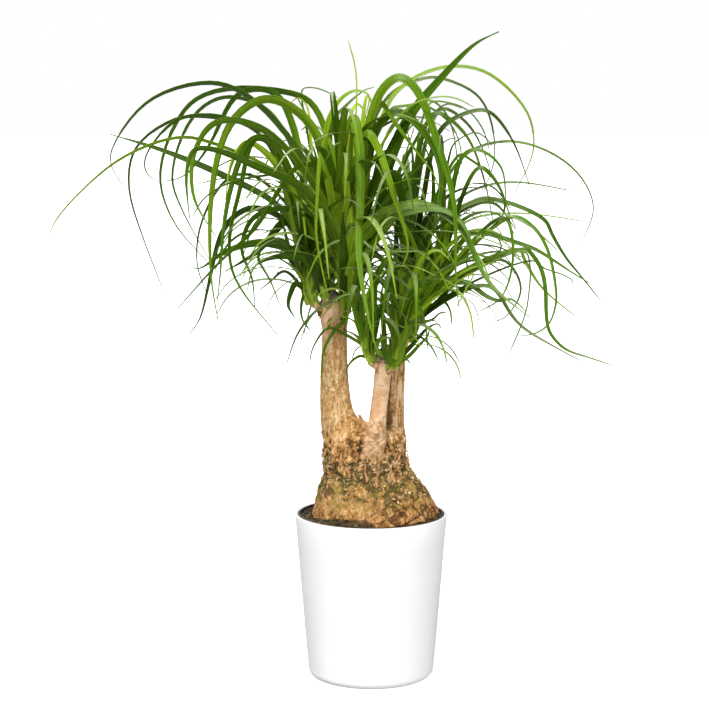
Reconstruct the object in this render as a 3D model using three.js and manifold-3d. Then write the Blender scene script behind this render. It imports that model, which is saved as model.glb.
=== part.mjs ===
// A potted ponytail palm: white cover pot, black nursery pot, soil, a swollen trunk that forks into two
// trunks and a cut front branch, and eight leafy shoots. Millimetres, +Z up. The origin is the centre of
// the pot's flat underside, +X is to the right and +Y away from the viewer.
import * as THREE from "three";
import { mergeVertices } from "three/addons/utils/BufferGeometryUtils.js";
import Module from "manifold-3d";

const wasm = await Module();
wasm.setup();

// Driving dimensions of the pots.
const RIM_RADIUS = 90;
const FOOT_RADIUS = 74;
const POT_HEIGHT = 195;
const POT_WALL = 3.2;
const POT_FLOOR = 5;
const FOOT_ROUND = 9;
const FOOT_STEPS = 4;
const FOOT_FLARE = 0.6;
const FLOOR_ROUND = 6;
const RIM_ROUND = 0.8;
const POT_SIDES = 32;
const FIT_GAP = 0.35;

// The black nursery pot inside it, with a thicker bead round its rim.
const NURSERY_WALL = 1.3;
const NURSERY_TOP = 191.5;
const NURSERY_BEAD = 4;
const NURSERY_BEAD_STEP = 0.5;
const NURSERY_BEAD_OUT = 0.2;
const NURSERY_BEVEL = 0.6;
const NURSERY_ROUND = 3;
const NURSERY_CLEARANCE = 0.7;
const NURSERY_FOOT_IN = 6;
const DRAIN_RADIUS = 6;
const DRAIN_CIRCLE = 48;
const DRAINS = 4;
const DRAIN_SIDES = 10;

// Driving dimensions of the soil and the trunk.
const SOIL_LEVEL = 189.5;
const SOIL_LUMP = 1.6;
const SOIL_WAVE = [5.3, 6.1];
const SOIL_DISH = 2.2;
const SOIL_CORNER = 4;
// The soil's dished top, from the wall inwards: how far in, and how far above its level.
const SOIL_TOP = [
  [0, -SOIL_DISH],
  [4, -0.6],
  [10, 0],
  [17, 0.6],
];
const HOLE_TOP = 202;
const HOLE_GAP = 0.45;
const TRUNK_SIDES = 22;
const LIMB_SIDES = 13;
const STEM_SIDES = 9;

// Waves round a section: how deep, as a share of its width, how many, and how tall. The foot's start low
// at the soil, where it fits its hole, and are full above it.
const FOOT_WAVES = [
  { depth: 0.022, count: 3, tall: 23 },
  { depth: 0.02, count: 7, tall: -17 },
];
const BURIED_WAVES = 0.25;
const WAVES_START = 192;
const WAVES_FULL = 230;
const LIMB_WAVES = [
  { depth: 1, count: 3, tall: 31 },
  { depth: 0.7, count: 5, tall: -47 },
];
const LEFT_FLUTES = 0.018;
const FRONT_FLUTES = 0.012;
const BACK_FLUTES = 0.02;

// The swollen foot, from its buried point up to the fork: height, left edge, right edge, centre and half
// width in depth.
const CAUDEX = [
  [112, -14, 22, 4, 16],
  [118, -27, 36, 4, 29],
  [136, -44, 53, 4, 45],
  [160, -60, 68, 4, 58],
  [180, -70, 78, 4, 66],
  [190, -71.5, 80.5, 4, 68],
  [196, -70.5, 80.5, 4, 67],
  [205, -68, 76, 4, 65],
  [216, -65, 70.5, 4, 61],
  [226, -62, 65, 4, 57],
  [235, -58, 58, 3, 52],
  [245, -55.5, 49.5, 2, 47],
  [257, -56, 45.5, 1, 43],
  [270, -58, 43.5, 0, 39],
  [284, -57, 41, -1, 36],
  [292, -54, 37, 0, 32],
  [298, -46, 29, 1, 23],
  [301, -32, 15, 2, 10],
];

// Limbs of the trunk: centre x, y, z and radius, from inside the foot to the cut or living top. The saddle
// joins the left trunk and the front branch at the fork.
const LEFT_TRUNK = [
  [-34, 2, 262, 20],
  [-37.5, 2, 284, 20.5],
  [-38.5, 1, 307, 21],
  [-40.5, 0, 318, 19.4],
  [-42, 0, 332, 18],
  [-43.2, 0, 361, 16.3],
  [-43, 0, 393, 15],
  [-43, 0, 415, 14.8],
  [-44.5, 0, 432, 16.6],
  [-46, 0, 443, 16.2],
  [-47, 0, 450, 13.5],
];
const FRONT_BRANCH = [
  [0, -19, 258, 15.5],
  [3, -23, 280, 13.4],
  [6.4, -24, 302, 10.9],
  [9, -23.5, 326, 10],
  [12, -22.5, 350, 9.8],
  [13.6, -22, 366, 10.3],
  [14, -22, 378, 9.4],
  [14, -22, 383, 7.6],
];
const SADDLE = [
  [-36, 0, 334, 9],
  [-30.5, -4, 313, 11],
  [-22, -9, 301, 11],
  [-12, -14, 297, 11],
  [0, -19, 296, 11],
];
const BACK_TRUNK = [
  [25, 7, 262, 16],
  [27.2, 11, 283, 14.6],
  [27.2, 13, 302, 12.4],
  [27.6, 14, 330, 12],
  [28.4, 14, 361, 12.4],
  [28.2, 14, 384, 12.8],
  [28, 14, 394, 10.5],
];

// Each leafy stem: its axis as x, y, z and radius from the foot, which stands in a socket in the wood, to
// the tip; then what its unseen leaves are like: how many, shortest and longest, and full width.
const SHOOTS = {
  shoot_left: {
    axis: [
      [-53, -3, 434, 5.6],
      [-64, -5, 441, 6.4],
      [-71, -7, 457, 6],
      [-77, -8, 478, 5],
      [-83, -9, 500, 3.6],
    ],
    spray: { count: 14, shortest: 120, longest: 240, width: 8.5 },
    colour: 0x4a8527,
  },
  shoot_front: {
    axis: [
      [-49, -8, 438, 3],
      [-51, -18, 447, 3.6],
      [-58, -24, 466, 3.2],
      [-67, -27, 486, 2.4],
    ],
    spray: { count: 5, shortest: 90, longest: 150, width: 6.5 },
    colour: 0x4f8c2a,
  },
  shoot_main: {
    axis: [
      [-39, -4, 425, 6],
      [-30, -10, 436, 7],
      [-31, -12, 458, 7.4],
      [-34, -12, 500, 8.4],
      [-33, -11, 546, 5.5],
    ],
    spray: { count: 30, shortest: 200, longest: 330, width: 11 },
    colour: 0x55962c,
  },
  shoot_rear: {
    axis: [
      [-45, 6, 434, 5],
      [-46, 17, 447, 6],
      [-49, 23, 475, 5.6],
      [-52, 27, 512, 4.2],
    ],
    spray: { count: 24, shortest: 220, longest: 340, width: 10 },
    colour: 0x437a24,
  },
  shoot_branch_left: {
    axis: [
      [9, -22, 368, 3.6],
      [1, -28, 377, 4.6],
      [-7, -30, 397, 4],
      [-16, -32, 430, 3.6],
      [-24, -33, 458, 2.6],
    ],
    spray: { count: 12, shortest: 90, longest: 180, width: 8 },
    colour: 0x5a9a30,
  },
  shoot_branch_right: {
    axis: [
      [15, -22, 364, 3.6],
      [22, -29, 370, 4.6],
      [28, -33, 397, 4],
      [36, -35, 433, 2.8],
    ],
    spray: { count: 12, shortest: 100, longest: 190, width: 8 },
    colour: 0x5f9f33,
  },
  shoot_back_right: {
    axis: [
      [31, 11, 384, 4.6],
      [39, 4, 398, 5.6],
      [48, 2, 421, 5],
      [62, 0, 445, 4.6],
      [84, -2, 490, 3.4],
    ],
    spray: { count: 16, shortest: 140, longest: 270, width: 8.5 },
    colour: 0x4c8a28,
  },
  shoot_back_rear: {
    axis: [
      [26, 19, 384, 4.6],
      [28, 28, 400, 5.6],
      [34, 34, 440, 5.4],
      [46, 38, 490, 4],
    ],
    spray: { count: 28, shortest: 220, longest: 340, width: 10 },
    colour: 0x447d25,
  },
};

// Leaves that can be followed one by one from the front. Each has the shoot it grows from, the width it
// shows, how far its tip swings away from the viewer (minus is nearer), the share of its face that shows
// near the root and near the tip, and x, z points along it where the line of sight crosses plane y = 0.
const EYE = new THREE.Vector3(-19.6, -2300, 690);
const SEEN_LEAVES = [
  { shoot: "shoot_main", width: 12, swing: -120, shown: [0.9, 0.8],
    path: [[-39, 538], [-50, 608], [-78, 660], [-121, 681], [-160, 656], [-183, 589], [-187, 478],
      [-179, 424]] },
  { shoot: "shoot_main", width: 14, swing: -165, shown: [1, 1],
    path: [[-28, 560], [-26, 640], [-20, 658], [-14, 620], [-13, 560], [-15, 500], [-3, 425],
      [8, 385]] },
  { shoot: "shoot_main", width: 11, swing: -115, shown: [0.9, 0.9],
    path: [[-5, 642], [5, 629], [15, 604], [27, 566], [38, 533], [43, 507], [36, 487]] },
  { shoot: "shoot_main", width: 8, swing: -95, shown: [1, 0.7],
    path: [[-33, 563], [-37, 630], [-46, 644], [-58, 620], [-63, 560], [-64, 520], [-50, 452]] },
  { shoot: "shoot_main", width: 12, swing: -150, shown: [0.8, 0.9],
    path: [[-12, 600], [8, 684], [31, 705], [51, 692], [76, 630], [96, 560], [98, 480], [102, 440]] },
  { shoot: "shoot_main", width: 12, swing: -70, shown: [0.7, 0.8],
    path: [[-10, 560], [3, 640], [28, 666], [61, 642], [80, 600], [76, 550], [60, 488]] },
  { shoot: "shoot_main", width: 15, swing: -30, shown: [0.7, 1],
    path: [[20, 617], [46, 665], [81, 706], [118, 743], [146, 757]] },
  { shoot: "shoot_main", width: 5, swing: 60, shown: [0.5, 0.5],
    path: [[5, 640], [30, 690], [79, 716], [130, 712], [176, 671], [187, 640], [185, 613],
      [163, 568]] },
  { shoot: "shoot_main", width: 12, swing: -205, shown: [0.8, 0.6],
    path: [[-1, 537], [30, 555], [64, 558], [104, 532], [135, 470], [184, 428]] },
  { shoot: "shoot_main", width: 9, swing: 40, shown: [0.6, 0.4],
    path: [[-43, 538], [-93, 632], [-142, 683], [-185, 699], [-256, 679], [-299, 625], [-301, 605],
      [-286, 578]] },
  { shoot: "shoot_left", width: 8, swing: -45, shown: [0.8, 0.4],
    path: [[-80, 510], [-105, 557], [-161, 589], [-241, 622], [-301, 640]] },
  { shoot: "shoot_main", width: 4, swing: -80, shown: [0.5, 0.5],
    path: [[-100, 590], [-178, 628], [-221, 637], [-287, 614], [-338, 573], [-367, 540], [-375, 522]] },
  { shoot: "shoot_main", width: 9, swing: -240, shown: [0.6, 0.6],
    path: [[-41, 525], [-78, 576], [-128, 600], [-180, 622], [-205, 622], [-214, 595], [-211, 543]] },
  { shoot: "shoot_left", width: 10, swing: -95, shown: [0.8, 0.6],
    path: [[-83, 554], [-105, 617], [-125, 636], [-140, 632], [-158, 594], [-171, 536], [-176, 476],
      [-180, 446]] },
  { shoot: "shoot_left", width: 7, swing: -150, shown: [0.6, 0.5],
    path: [[-117, 628], [-135, 634], [-151, 579], [-165, 518], [-159, 473], [-109, 406]] },
  { shoot: "shoot_left", width: 9, swing: -70, shown: [0.8, 0.6],
    path: [[-68, 520], [-91, 553], [-136, 545], [-151, 507], [-139, 475], [-136, 440]] },
  { shoot: "shoot_left", width: 10, swing: 10, shown: [0.8, 0.9],
    path: [[-72, 540], [-85, 546], [-103, 538], [-130, 506], [-171, 481]] },
  { shoot: "shoot_left", width: 9, swing: 60, shown: [0.7, 0.7],
    path: [[-85, 500], [-125, 515], [-169, 505], [-199, 485], [-210, 486]] },
  { shoot: "shoot_left", width: 8, swing: 110, shown: [0.6, 0.5],
    path: [[-95, 535], [-138, 555], [-170, 533], [-190, 463], [-200, 426], [-214, 406]] },
  { shoot: "shoot_front", width: 10, swing: -35, shown: [0.9, 0.8],
    path: [[-69, 489], [-83, 498], [-118, 497], [-140, 485]] },
  { shoot: "shoot_rear", width: 10, swing: 110, shown: [0.8, 0.7],
    path: [[-74, 551], [-88, 640], [-112, 688], [-154, 686], [-187, 627], [-217, 592], [-240, 586]] },
  { shoot: "shoot_rear", width: 9, swing: 170, shown: [0.8, 0.5],
    path: [[-45, 600], [-68, 675], [-110, 690], [-177, 690], [-214, 670], [-245, 595], [-229, 538],
      [-188, 490]] },
  { shoot: "shoot_rear", width: 5, swing: 70, shown: [0.6, 0.5],
    path: [[-100, 626], [-168, 659], [-199, 663], [-254, 628], [-256, 592]] },
  { shoot: "shoot_rear", width: 4, swing: 230, shown: [0.5, 0.5],
    path: [[-130, 643], [-193, 660], [-227, 657], [-272, 625], [-281, 580], [-265, 520], [-241, 456]] },
  { shoot: "shoot_rear", width: 5, swing: 250, shown: [0.5, 0.5],
    path: [[-110, 660], [-167, 683], [-205, 661], [-231, 592], [-218, 550], [-189, 496]] },
  { shoot: "shoot_main", width: 9, swing: -190, shown: [0.5, 0.6],
    path: [[-115, 640], [-177, 655], [-204, 621], [-206, 567], [-181, 523]] },
  { shoot: "shoot_main", width: 7, swing: -170, shown: [0.5, 0.5],
    path: [[-60, 600], [-81, 605], [-101, 585], [-133, 533], [-177, 492], [-226, 438]] },
  { shoot: "shoot_rear", width: 4, swing: 120, shown: [0.5, 0.5],
    path: [[-130, 590], [-165, 590], [-197, 539], [-203, 490], [-192, 456]] },
  { shoot: "shoot_left", width: 6, swing: -20, shown: [0.8, 0.8],
    path: [[-80, 462], [-91, 466], [-95, 444], [-89, 428]] },
  { shoot: "shoot_left", width: 4, swing: -42, shown: [0.8, 0.8],
    path: [[-76, 460], [-82, 440], [-80, 424], [-71, 412]] },
  { shoot: "shoot_left", width: 4, swing: 40, shown: [0.5, 0.5],
    path: [[-100, 482], [-118, 469], [-130, 460]] },
  { shoot: "shoot_left", width: 4, swing: -110, shown: [0.5, 0.5],
    path: [[-105, 520], [-132, 501], [-118, 472], [-107, 443]] },
  { shoot: "shoot_main", width: 5, swing: -26, shown: [0.8, 0.8],
    path: [[-31, 425], [-42, 413], [-56, 388], [-58, 354]] },
  { shoot: "shoot_branch_left", width: 4, swing: -24, shown: [0.6, 0.6],
    path: [[-8, 392], [-34, 409], [-51, 415], [-69, 390], [-72, 373]] },
  { shoot: "shoot_branch_left", width: 4, swing: -10, shown: [0.8, 0.8],
    path: [[-5, 381], [-14, 382], [-28, 369], [-27, 354]] },
  { shoot: "shoot_main", width: 10, swing: -75, shown: [0.8, 0.6],
    path: [[-54, 634], [-40, 675], [-20, 690], [-3, 685], [-6, 664]] },
  { shoot: "shoot_main", width: 7, swing: 70, shown: [0.6, 0.6],
    path: [[-47, 651], [-33, 669], [-9, 690], [3, 694]] },
  { shoot: "shoot_main", width: 3, swing: -200, shown: [0.6, 0.6],
    path: [[-25, 538], [-4, 511], [20, 505], [58, 505]] },
  { shoot: "shoot_rear", width: 8, swing: 60, shown: [0.7, 0.7],
    path: [[-56, 600], [-75, 661], [-88, 687]] },
  { shoot: "shoot_main", width: 4, swing: 130, shown: [0.5, 0.5],
    path: [[14, 679], [61, 704], [84, 703], [127, 680], [143, 617], [129, 572]] },
  { shoot: "shoot_back_rear", width: 7, swing: 60, shown: [0.6, 0.6],
    path: [[60, 560], [78, 643], [106, 663], [134, 667], [163, 633], [183, 581]] },
  { shoot: "shoot_main", width: 3, swing: -110, shown: [0.6, 0.6],
    path: [[36, 667], [76, 683], [98, 681], [118, 671]] },
  { shoot: "shoot_back_rear", width: 6, swing: -60, shown: [0.6, 0.6],
    path: [[68, 666], [107, 642], [129, 593], [143, 531]] },
  { shoot: "shoot_back_rear", width: 5.5, swing: 160, shown: [0.5, 0.5],
    path: [[76, 670], [113, 650], [136, 603], [138, 592]] },
  { shoot: "shoot_back_right", width: 8, swing: -70, shown: [0.9, 0.7],
    path: [[102, 611], [121, 623], [150, 603], [156, 559]] },
  { shoot: "shoot_back_right", width: 6, swing: -30, shown: [0.7, 0.7],
    path: [[123, 605], [151, 574], [153, 547], [121, 520]] },
  { shoot: "shoot_back_rear", width: 4, swing: 110, shown: [0.5, 0.5],
    path: [[100, 610], [151, 632], [201, 622], [241, 593], [258, 555], [245, 516]] },
  { shoot: "shoot_back_rear", width: 3, swing: 200, shown: [0.5, 0.5],
    path: [[100, 565], [137, 582], [172, 585], [232, 575]] },
  { shoot: "shoot_back_rear", width: 3, swing: 40, shown: [0.5, 0.5],
    path: [[110, 540], [162, 549], [199, 547], [249, 539]] },
  { shoot: "shoot_back_right", width: 7, swing: 50, shown: [0.6, 0.6],
    path: [[153, 564], [178, 553], [216, 512], [272, 443]] },
  { shoot: "shoot_back_right", width: 7, swing: -100, shown: [0.6, 0.6],
    path: [[165, 544], [199, 516], [215, 466], [206, 412], [175, 403]] },
  { shoot: "shoot_back_right", width: 7, swing: 10, shown: [0.6, 0.6],
    path: [[144, 527], [185, 507], [227, 486], [259, 467]] },
  { shoot: "shoot_back_right", width: 4, swing: 95, shown: [0.6, 0.6],
    path: [[171, 509], [197, 467], [242, 424]] },
  { shoot: "shoot_back_right", width: 7.5, swing: -60, shown: [0.6, 0.8],
    path: [[175, 509], [200, 481], [205, 427], [222, 392], [279, 370]] },
  { shoot: "shoot_back_right", width: 5, swing: -150, shown: [0.6, 0.6],
    path: [[135, 467], [170, 421], [218, 391], [246, 376]] },
  { shoot: "shoot_back_right", width: 9, swing: -80, shown: [0.8, 0.7],
    path: [[95, 465], [129, 452], [172, 441]] },
  { shoot: "shoot_back_right", width: 6, swing: -45, shown: [0.7, 0.7],
    path: [[80, 448], [113, 483], [151, 495]] },
  { shoot: "shoot_back_right", width: 4, swing: 70, shown: [0.5, 0.5],
    path: [[150, 497], [175, 462], [158, 429], [142, 422]] },
  { shoot: "shoot_back_right", width: 4, swing: -190, shown: [0.6, 0.6],
    path: [[153, 547], [165, 504], [153, 452], [125, 434]] },
  { shoot: "shoot_back_right", width: 9, swing: 30, shown: [0.8, 0.7],
    path: [[80, 520], [100, 550], [141, 562], [167, 531]] },
  { shoot: "shoot_branch_right", width: 10, swing: -60, shown: [0.9, 0.8],
    path: [[48, 470], [62, 500], [78, 506], [92, 494]] },
  { shoot: "shoot_back_right", width: 4, swing: -25, shown: [0.8, 0.8],
    path: [[77, 443], [85, 442], [94, 419]] },
  { shoot: "shoot_back_right", width: 4, swing: 20, shown: [0.8, 0.8],
    path: [[72, 425], [79, 432], [89, 434]] },
  { shoot: "shoot_branch_right", width: 4, swing: -20, shown: [0.8, 0.8],
    path: [[40, 421], [60, 424], [79, 423]] },
  { shoot: "shoot_branch_left", width: 12, swing: -70, shown: [0.9, 0.9],
    path: [[2, 440], [5, 474], [29, 507], [42, 508]] },
  { shoot: "shoot_branch_left", width: 8, swing: -40, shown: [0.8, 0.8],
    path: [[1, 423], [11, 439], [25, 453]] },
  { shoot: "shoot_branch_right", width: 6, swing: -45, shown: [0.8, 0.8],
    path: [[24, 444], [31, 450], [45, 449]] },
  { shoot: "shoot_branch_right", width: 6, swing: -100, shown: [0.7, 0.7],
    path: [[45, 451], [59, 469], [103, 494]] },
  { shoot: "shoot_branch_right", width: 5, swing: -12, shown: [0.8, 0.8],
    path: [[29, 371], [41, 378], [46, 373]] },
  { shoot: "shoot_main", width: 10, swing: 40, shown: [0.9, 0.8],
    path: [[-6, 518], [15, 551], [35, 581], [54, 601], [72, 620], [88, 634], [100, 636]] },
  { shoot: "shoot_main", width: 11, swing: -150, shown: [0.8, 0.7],
    path: [[-11, 518], [16, 539], [45, 551], [76, 554], [97, 546], [112, 526], [119, 492]] },
  { shoot: "shoot_main", width: 8, swing: -60, shown: [0.8, 0.8],
    path: [[1, 622], [3, 662], [10, 677], [25, 656], [49, 624], [72, 594], [79, 576]] },
  { shoot: "shoot_main", width: 4, swing: 80, shown: [0.6, 0.6],
    path: [[21, 668], [35, 672], [56, 674], [72, 668], [91, 652], [102, 629], [105, 599]] },
  { shoot: "shoot_main", width: 3.5, swing: 20, shown: [0.6, 0.6],
    path: [[37, 666], [67, 679], [81, 670], [90, 656], [96, 634], [99, 611], [102, 588]] },
  { shoot: "shoot_main", width: 11, swing: 40, shown: [1, 0.9],
    path: [[-33, 564], [-31, 622], [-25, 659], [-17, 675], [-9, 668], [-5, 652]] },
  { shoot: "shoot_rear", width: 8, swing: 40, shown: [1, 0.8],
    path: [[-69, 564], [-70, 611], [-71, 651], [-75, 674], [-85, 682], [-94, 675]] },
  { shoot: "shoot_left", width: 8, swing: -60, shown: [0.9, 0.7],
    path: [[-85, 555], [-97, 582], [-110, 605], [-126, 622], [-143, 631], [-154, 622], [-164, 599],
      [-169, 564]] },
  { shoot: "shoot_rear", width: 3.5, swing: 120, shown: [0.6, 0.6],
    path: [[-76, 656], [-80, 679], [-79, 692], [-64, 693], [-48, 687], [-39, 682]] },
  { shoot: "shoot_main", width: 3, swing: -100, shown: [0.6, 0.6],
    path: [[-94, 592], [-127, 592], [-152, 588], [-178, 578], [-196, 564], [-208, 544]] },
  { shoot: "shoot_front", width: 8, swing: -30, shown: [0.9, 0.9],
    path: [[-76, 506], [-83, 511], [-93, 510], [-99, 503]] },
  { shoot: "shoot_branch_left", width: 10, swing: -25, shown: [1, 1],
    path: [[-4, 387], [-13, 415], [-21, 441], [-26, 462]] },
  { shoot: "shoot_branch_left", width: 7, swing: -35, shown: [0.9, 0.9],
    path: [[-6, 401], [-12, 424], [-11, 448], [-7, 464], [-2, 476]] },
  { shoot: "shoot_branch_right", width: 7, swing: -45, shown: [0.9, 0.9],
    path: [[6, 389], [10, 401], [20, 404], [27, 400]] },
  { shoot: "shoot_branch_right", width: 10, swing: 10, shown: [1, 0.9],
    path: [[34, 395], [48, 424], [54, 453], [57, 476], [54, 492]] },
  { shoot: "shoot_branch_right", width: 6, swing: 10, shown: [0.8, 0.8],
    path: [[39, 401], [57, 434], [80, 457], [103, 478], [124, 488], [150, 492]] },
  { shoot: "shoot_branch_right", width: 6, swing: -20, shown: [0.8, 0.8],
    path: [[34, 380], [55, 403], [66, 415], [78, 420], [82, 414]] },
  { shoot: "shoot_branch_right", width: 5, swing: -35, shown: [0.8, 0.8],
    path: [[41, 380], [55, 394], [66, 406], [68, 415]] },
  { shoot: "shoot_branch_right", width: 9, swing: -50, shown: [1, 0.9],
    path: [[29, 380], [34, 399], [41, 410], [36, 423]] },
  { shoot: "shoot_branch_left", width: 4, swing: -60, shown: [0.7, 0.7],
    path: [[1, 453], [10, 471], [26, 488], [43, 485], [52, 471], [54, 462]] },
  { shoot: "shoot_back_rear", width: 3, swing: 140, shown: [0.6, 0.6],
    path: [[63, 674], [90, 676], [113, 666], [130, 643], [137, 617]] },
  { shoot: "shoot_back_right", width: 4, swing: 60, shown: [0.7, 0.7],
    path: [[91, 622], [102, 635], [121, 642], [134, 634], [141, 624]] },
  { shoot: "shoot_back_rear", width: 4.5, swing: -30, shown: [0.7, 0.7],
    path: [[100, 617], [114, 611], [133, 597], [149, 578], [158, 553], [170, 527]] },
  { shoot: "shoot_back_right", width: 7, swing: -20, shown: [0.8, 0.7],
    path: [[71, 495], [91, 527], [114, 546], [138, 551], [156, 541], [166, 525]] },
  { shoot: "shoot_back_right", width: 6, swing: -50, shown: [0.8, 0.7],
    path: [[75, 492], [98, 518], [121, 530], [145, 527], [168, 511]] },
  { shoot: "shoot_branch_right", width: 6, swing: 20, shown: [0.8, 0.7],
    path: [[80, 481], [103, 492], [133, 503], [157, 504], [178, 497]] },
  { shoot: "shoot_back_right", width: 4, swing: -80, shown: [0.7, 0.7],
    path: [[115, 504], [131, 499], [143, 499], [151, 509], [147, 520], [140, 523]] },
  { shoot: "shoot_back_right", width: 2.5, swing: 60, shown: [0.7, 0.7],
    path: [[178, 506], [185, 483], [184, 460], [181, 436], [172, 410], [161, 384]] },
  { shoot: "shoot_back_right", width: 3, swing: -20, shown: [0.7, 0.7],
    path: [[187, 495], [201, 485], [222, 478], [234, 471], [235, 464]] },
  { shoot: "shoot_branch_right", width: 2.5, swing: -60, shown: [0.7, 0.7],
    path: [[120, 481], [110, 460], [99, 439]] },
  { shoot: "shoot_main", width: 2.5, swing: 20, shown: [0.7, 0.7],
    path: [[-19, 645], [-17, 693], [-19, 718], [-27, 748]] },
];

// Shape of a leaf: it narrows to its root and tip, and broad ones are folded along the middle.
const LEAF_THICKNESS = 0.9;
const LEAF_CHANNEL = 0.14;
const LEAF_NARROW = 12.5;
const LEAF_TIP_SHARE = 0.1;
const TAPER_POWER = 1.9;
const ROOT_NARROW = 0.65;
const ROOT_FADE = 16;
const TURN_ROUNDS = 16;
const TURN_ROOM = 0.3;
const TURN_SHRINK = 0.85;

// Where leaves leave their stem, as shares of its length.
const ROOT_DROP = 45;
const ROOT_LOWEST = 0.32;
const ROOT_SPREAD = 0.45;

// Unseen leaves: the oldest, at the foot of the stem, start low and hang; the youngest stand up.
const SPRAY_STATIONS = 6;
const SPRAY_SUBSTEPS = 4;
const BOW_LEAST = 1;
const BOW_SPREAD = 0.9;
const LAUNCH_YOUNG = 82;
const LAUNCH_AGED = 44;
const DROOP_YOUNG = -48;
const DROOP_AGED = 36;
const BEARING_SPREAD = 0.9;
const LAUNCH_SPREAD = 18;
const DROOP_SPREAD = 34;
const SPREAD_MIDDLE = 0.4;
const DRIFT_RANGE = 0.8;
const SIDEWAYS_SHORTER = 0.42;
const ROLL_RANGE = 1.1;
const WIDTH_LEAST = 0.75;
const WIDTH_SPREAD = 0.35;
const SEED = 20261128;

// Leaves of different shoots pass each other in depth: a leaf is swung by the first of these steps that
// leaves enough room round it.
const SWING_POWER = 1.25;
const SWING_STEPS = [0, -14, 14, -28, 28, -44, 44, -62, 62];
const SAMPLE_STEP = 5;
const CELL = 16;
const LEAST_ROOM = 1.4;
const WIDTH_COUNTED = 0.75;
const STEM_ROOM = 0.8;
const GOLDEN_ANGLE = Math.PI * (3 - Math.sqrt(5));
const GOLDEN_SHARE = (Math.sqrt(5) - 1) / 2;

let state = SEED;

// A repeatable draw between 0 and 1.
function draw() {
  state = (state * 1664525 + 1013904223) % 4294967296;
  return state / 4294967296;
}

// Turns points and triangles into a solid with its faces out.
function solidFrom(points, triangles) {
  const make = (flip) => new wasm.Manifold(new wasm.Mesh({
    numProp: 3,
    vertProperties: new Float32Array(points.flatMap((p) => [p.x, p.y, p.z])),
    triVerts: new Uint32Array(triangles.flatMap(([a, b, c]) => (flip ? [a, c, b] : [a, b, c]))),
  }));
  const solid = make(false);
  return solid.volume() < 0 ? make(true) : solid;
}

// The same from a closed three.js geometry.
function solidOf(geometry) {
  const bare = geometry.clone();
  bare.deleteAttribute("normal");
  bare.deleteAttribute("uv");
  const merged = mergeVertices(bare, 1e-4);
  const points = [];
  for (let i = 0; i < merged.attributes.position.count; i++) {
    points.push(new THREE.Vector3().fromBufferAttribute(merged.attributes.position, i));
  }
  const triangles = [];
  for (let i = 0; i < merged.index.count; i += 3) {
    const [a, b, c] = [0, 1, 2].map((k) => merged.index.getX(i + k));
    if (a !== b && b !== c && a !== c) triangles.push([a, b, c]);
  }
  return solidFrom(points, triangles);
}

// The largest body of a solid, with any sealed hollow filled and any loose scrap dropped.
function wholeOf(solid) {
  return solid.decompose().reduce((best, body) => (body.volume() > best.volume() ? body : best));
}

function geometryOf(solid) {
  const mesh = solid.getMesh();
  const geometry = new THREE.BufferGeometry();
  geometry.setAttribute("position", new THREE.BufferAttribute(new Float32Array(mesh.vertProperties), 3));
  geometry.setIndex(new THREE.BufferAttribute(new Uint32Array(mesh.triVerts), 1));
  geometry.computeVertexNormals();
  return geometry;
}

// A closed body through rings of equal length, with flat ends.
function loft(rings) {
  const sides = rings[0].length;
  const points = rings.flat();
  const triangles = [];
  for (let i = 0; i < rings.length - 1; i++) {
    for (let k = 0; k < sides; k++) {
      const a = i * sides + k;
      const b = i * sides + (k + 1) % sides;
      triangles.push([a, b, b + sides], [a, b + sides, a + sides]);
    }
  }
  for (const [ring, last] of [[0, false], [rings.length - 1, true]]) {
    const centre = new THREE.Vector3();
    rings[ring].forEach((p) => centre.addScaledVector(p, 1 / sides));
    const hub = points.push(centre) - 1;
    for (let k = 0; k < sides; k++) {
      const a = ring * sides + k;
      const b = ring * sides + (k + 1) % sides;
      triangles.push(last ? [a, b, hub] : [b, a, hub]);
    }
  }
  return solidFrom(points, triangles);
}

// A round limb along a path of x, y, z and radius, grown by extra on every side and at both ends. Flutes
// make its section uneven.
function limb(path, sides, extra = 0, flute = 0) {
  const centres = path.map(([x, y, z]) => new THREE.Vector3(x, y, z));
  const last = centres.length - 1;
  const rings = centres.map((centre, i) => {
    const along = centres[Math.min(i + 1, last)].clone().sub(centres[Math.max(i - 1, 0)]).normalize();
    const across = new THREE.Vector3(1, 0, 0).addScaledVector(along, -along.x).normalize();
    const deep = new THREE.Vector3().crossVectors(along, across);
    const shift = i === 0 ? -extra : i === last ? extra : 0;
    return Array.from({ length: sides }, (_, k) => {
      const turn = (2 * Math.PI * k) / sides;
      const radius = path[i][3] * (1 + flute * waveOf(LIMB_WAVES, turn, centre.z)) + extra;
      return centre.clone()
        .addScaledVector(along, shift)
        .addScaledVector(across, radius * Math.cos(turn))
        .addScaledVector(deep, radius * Math.sin(turn));
    });
  });
  return loft(rings);
}

function potRadius(z) {
  return FOOT_RADIUS + ((RIM_RADIUS - FOOT_RADIUS) * z) / POT_HEIGHT;
}

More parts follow.
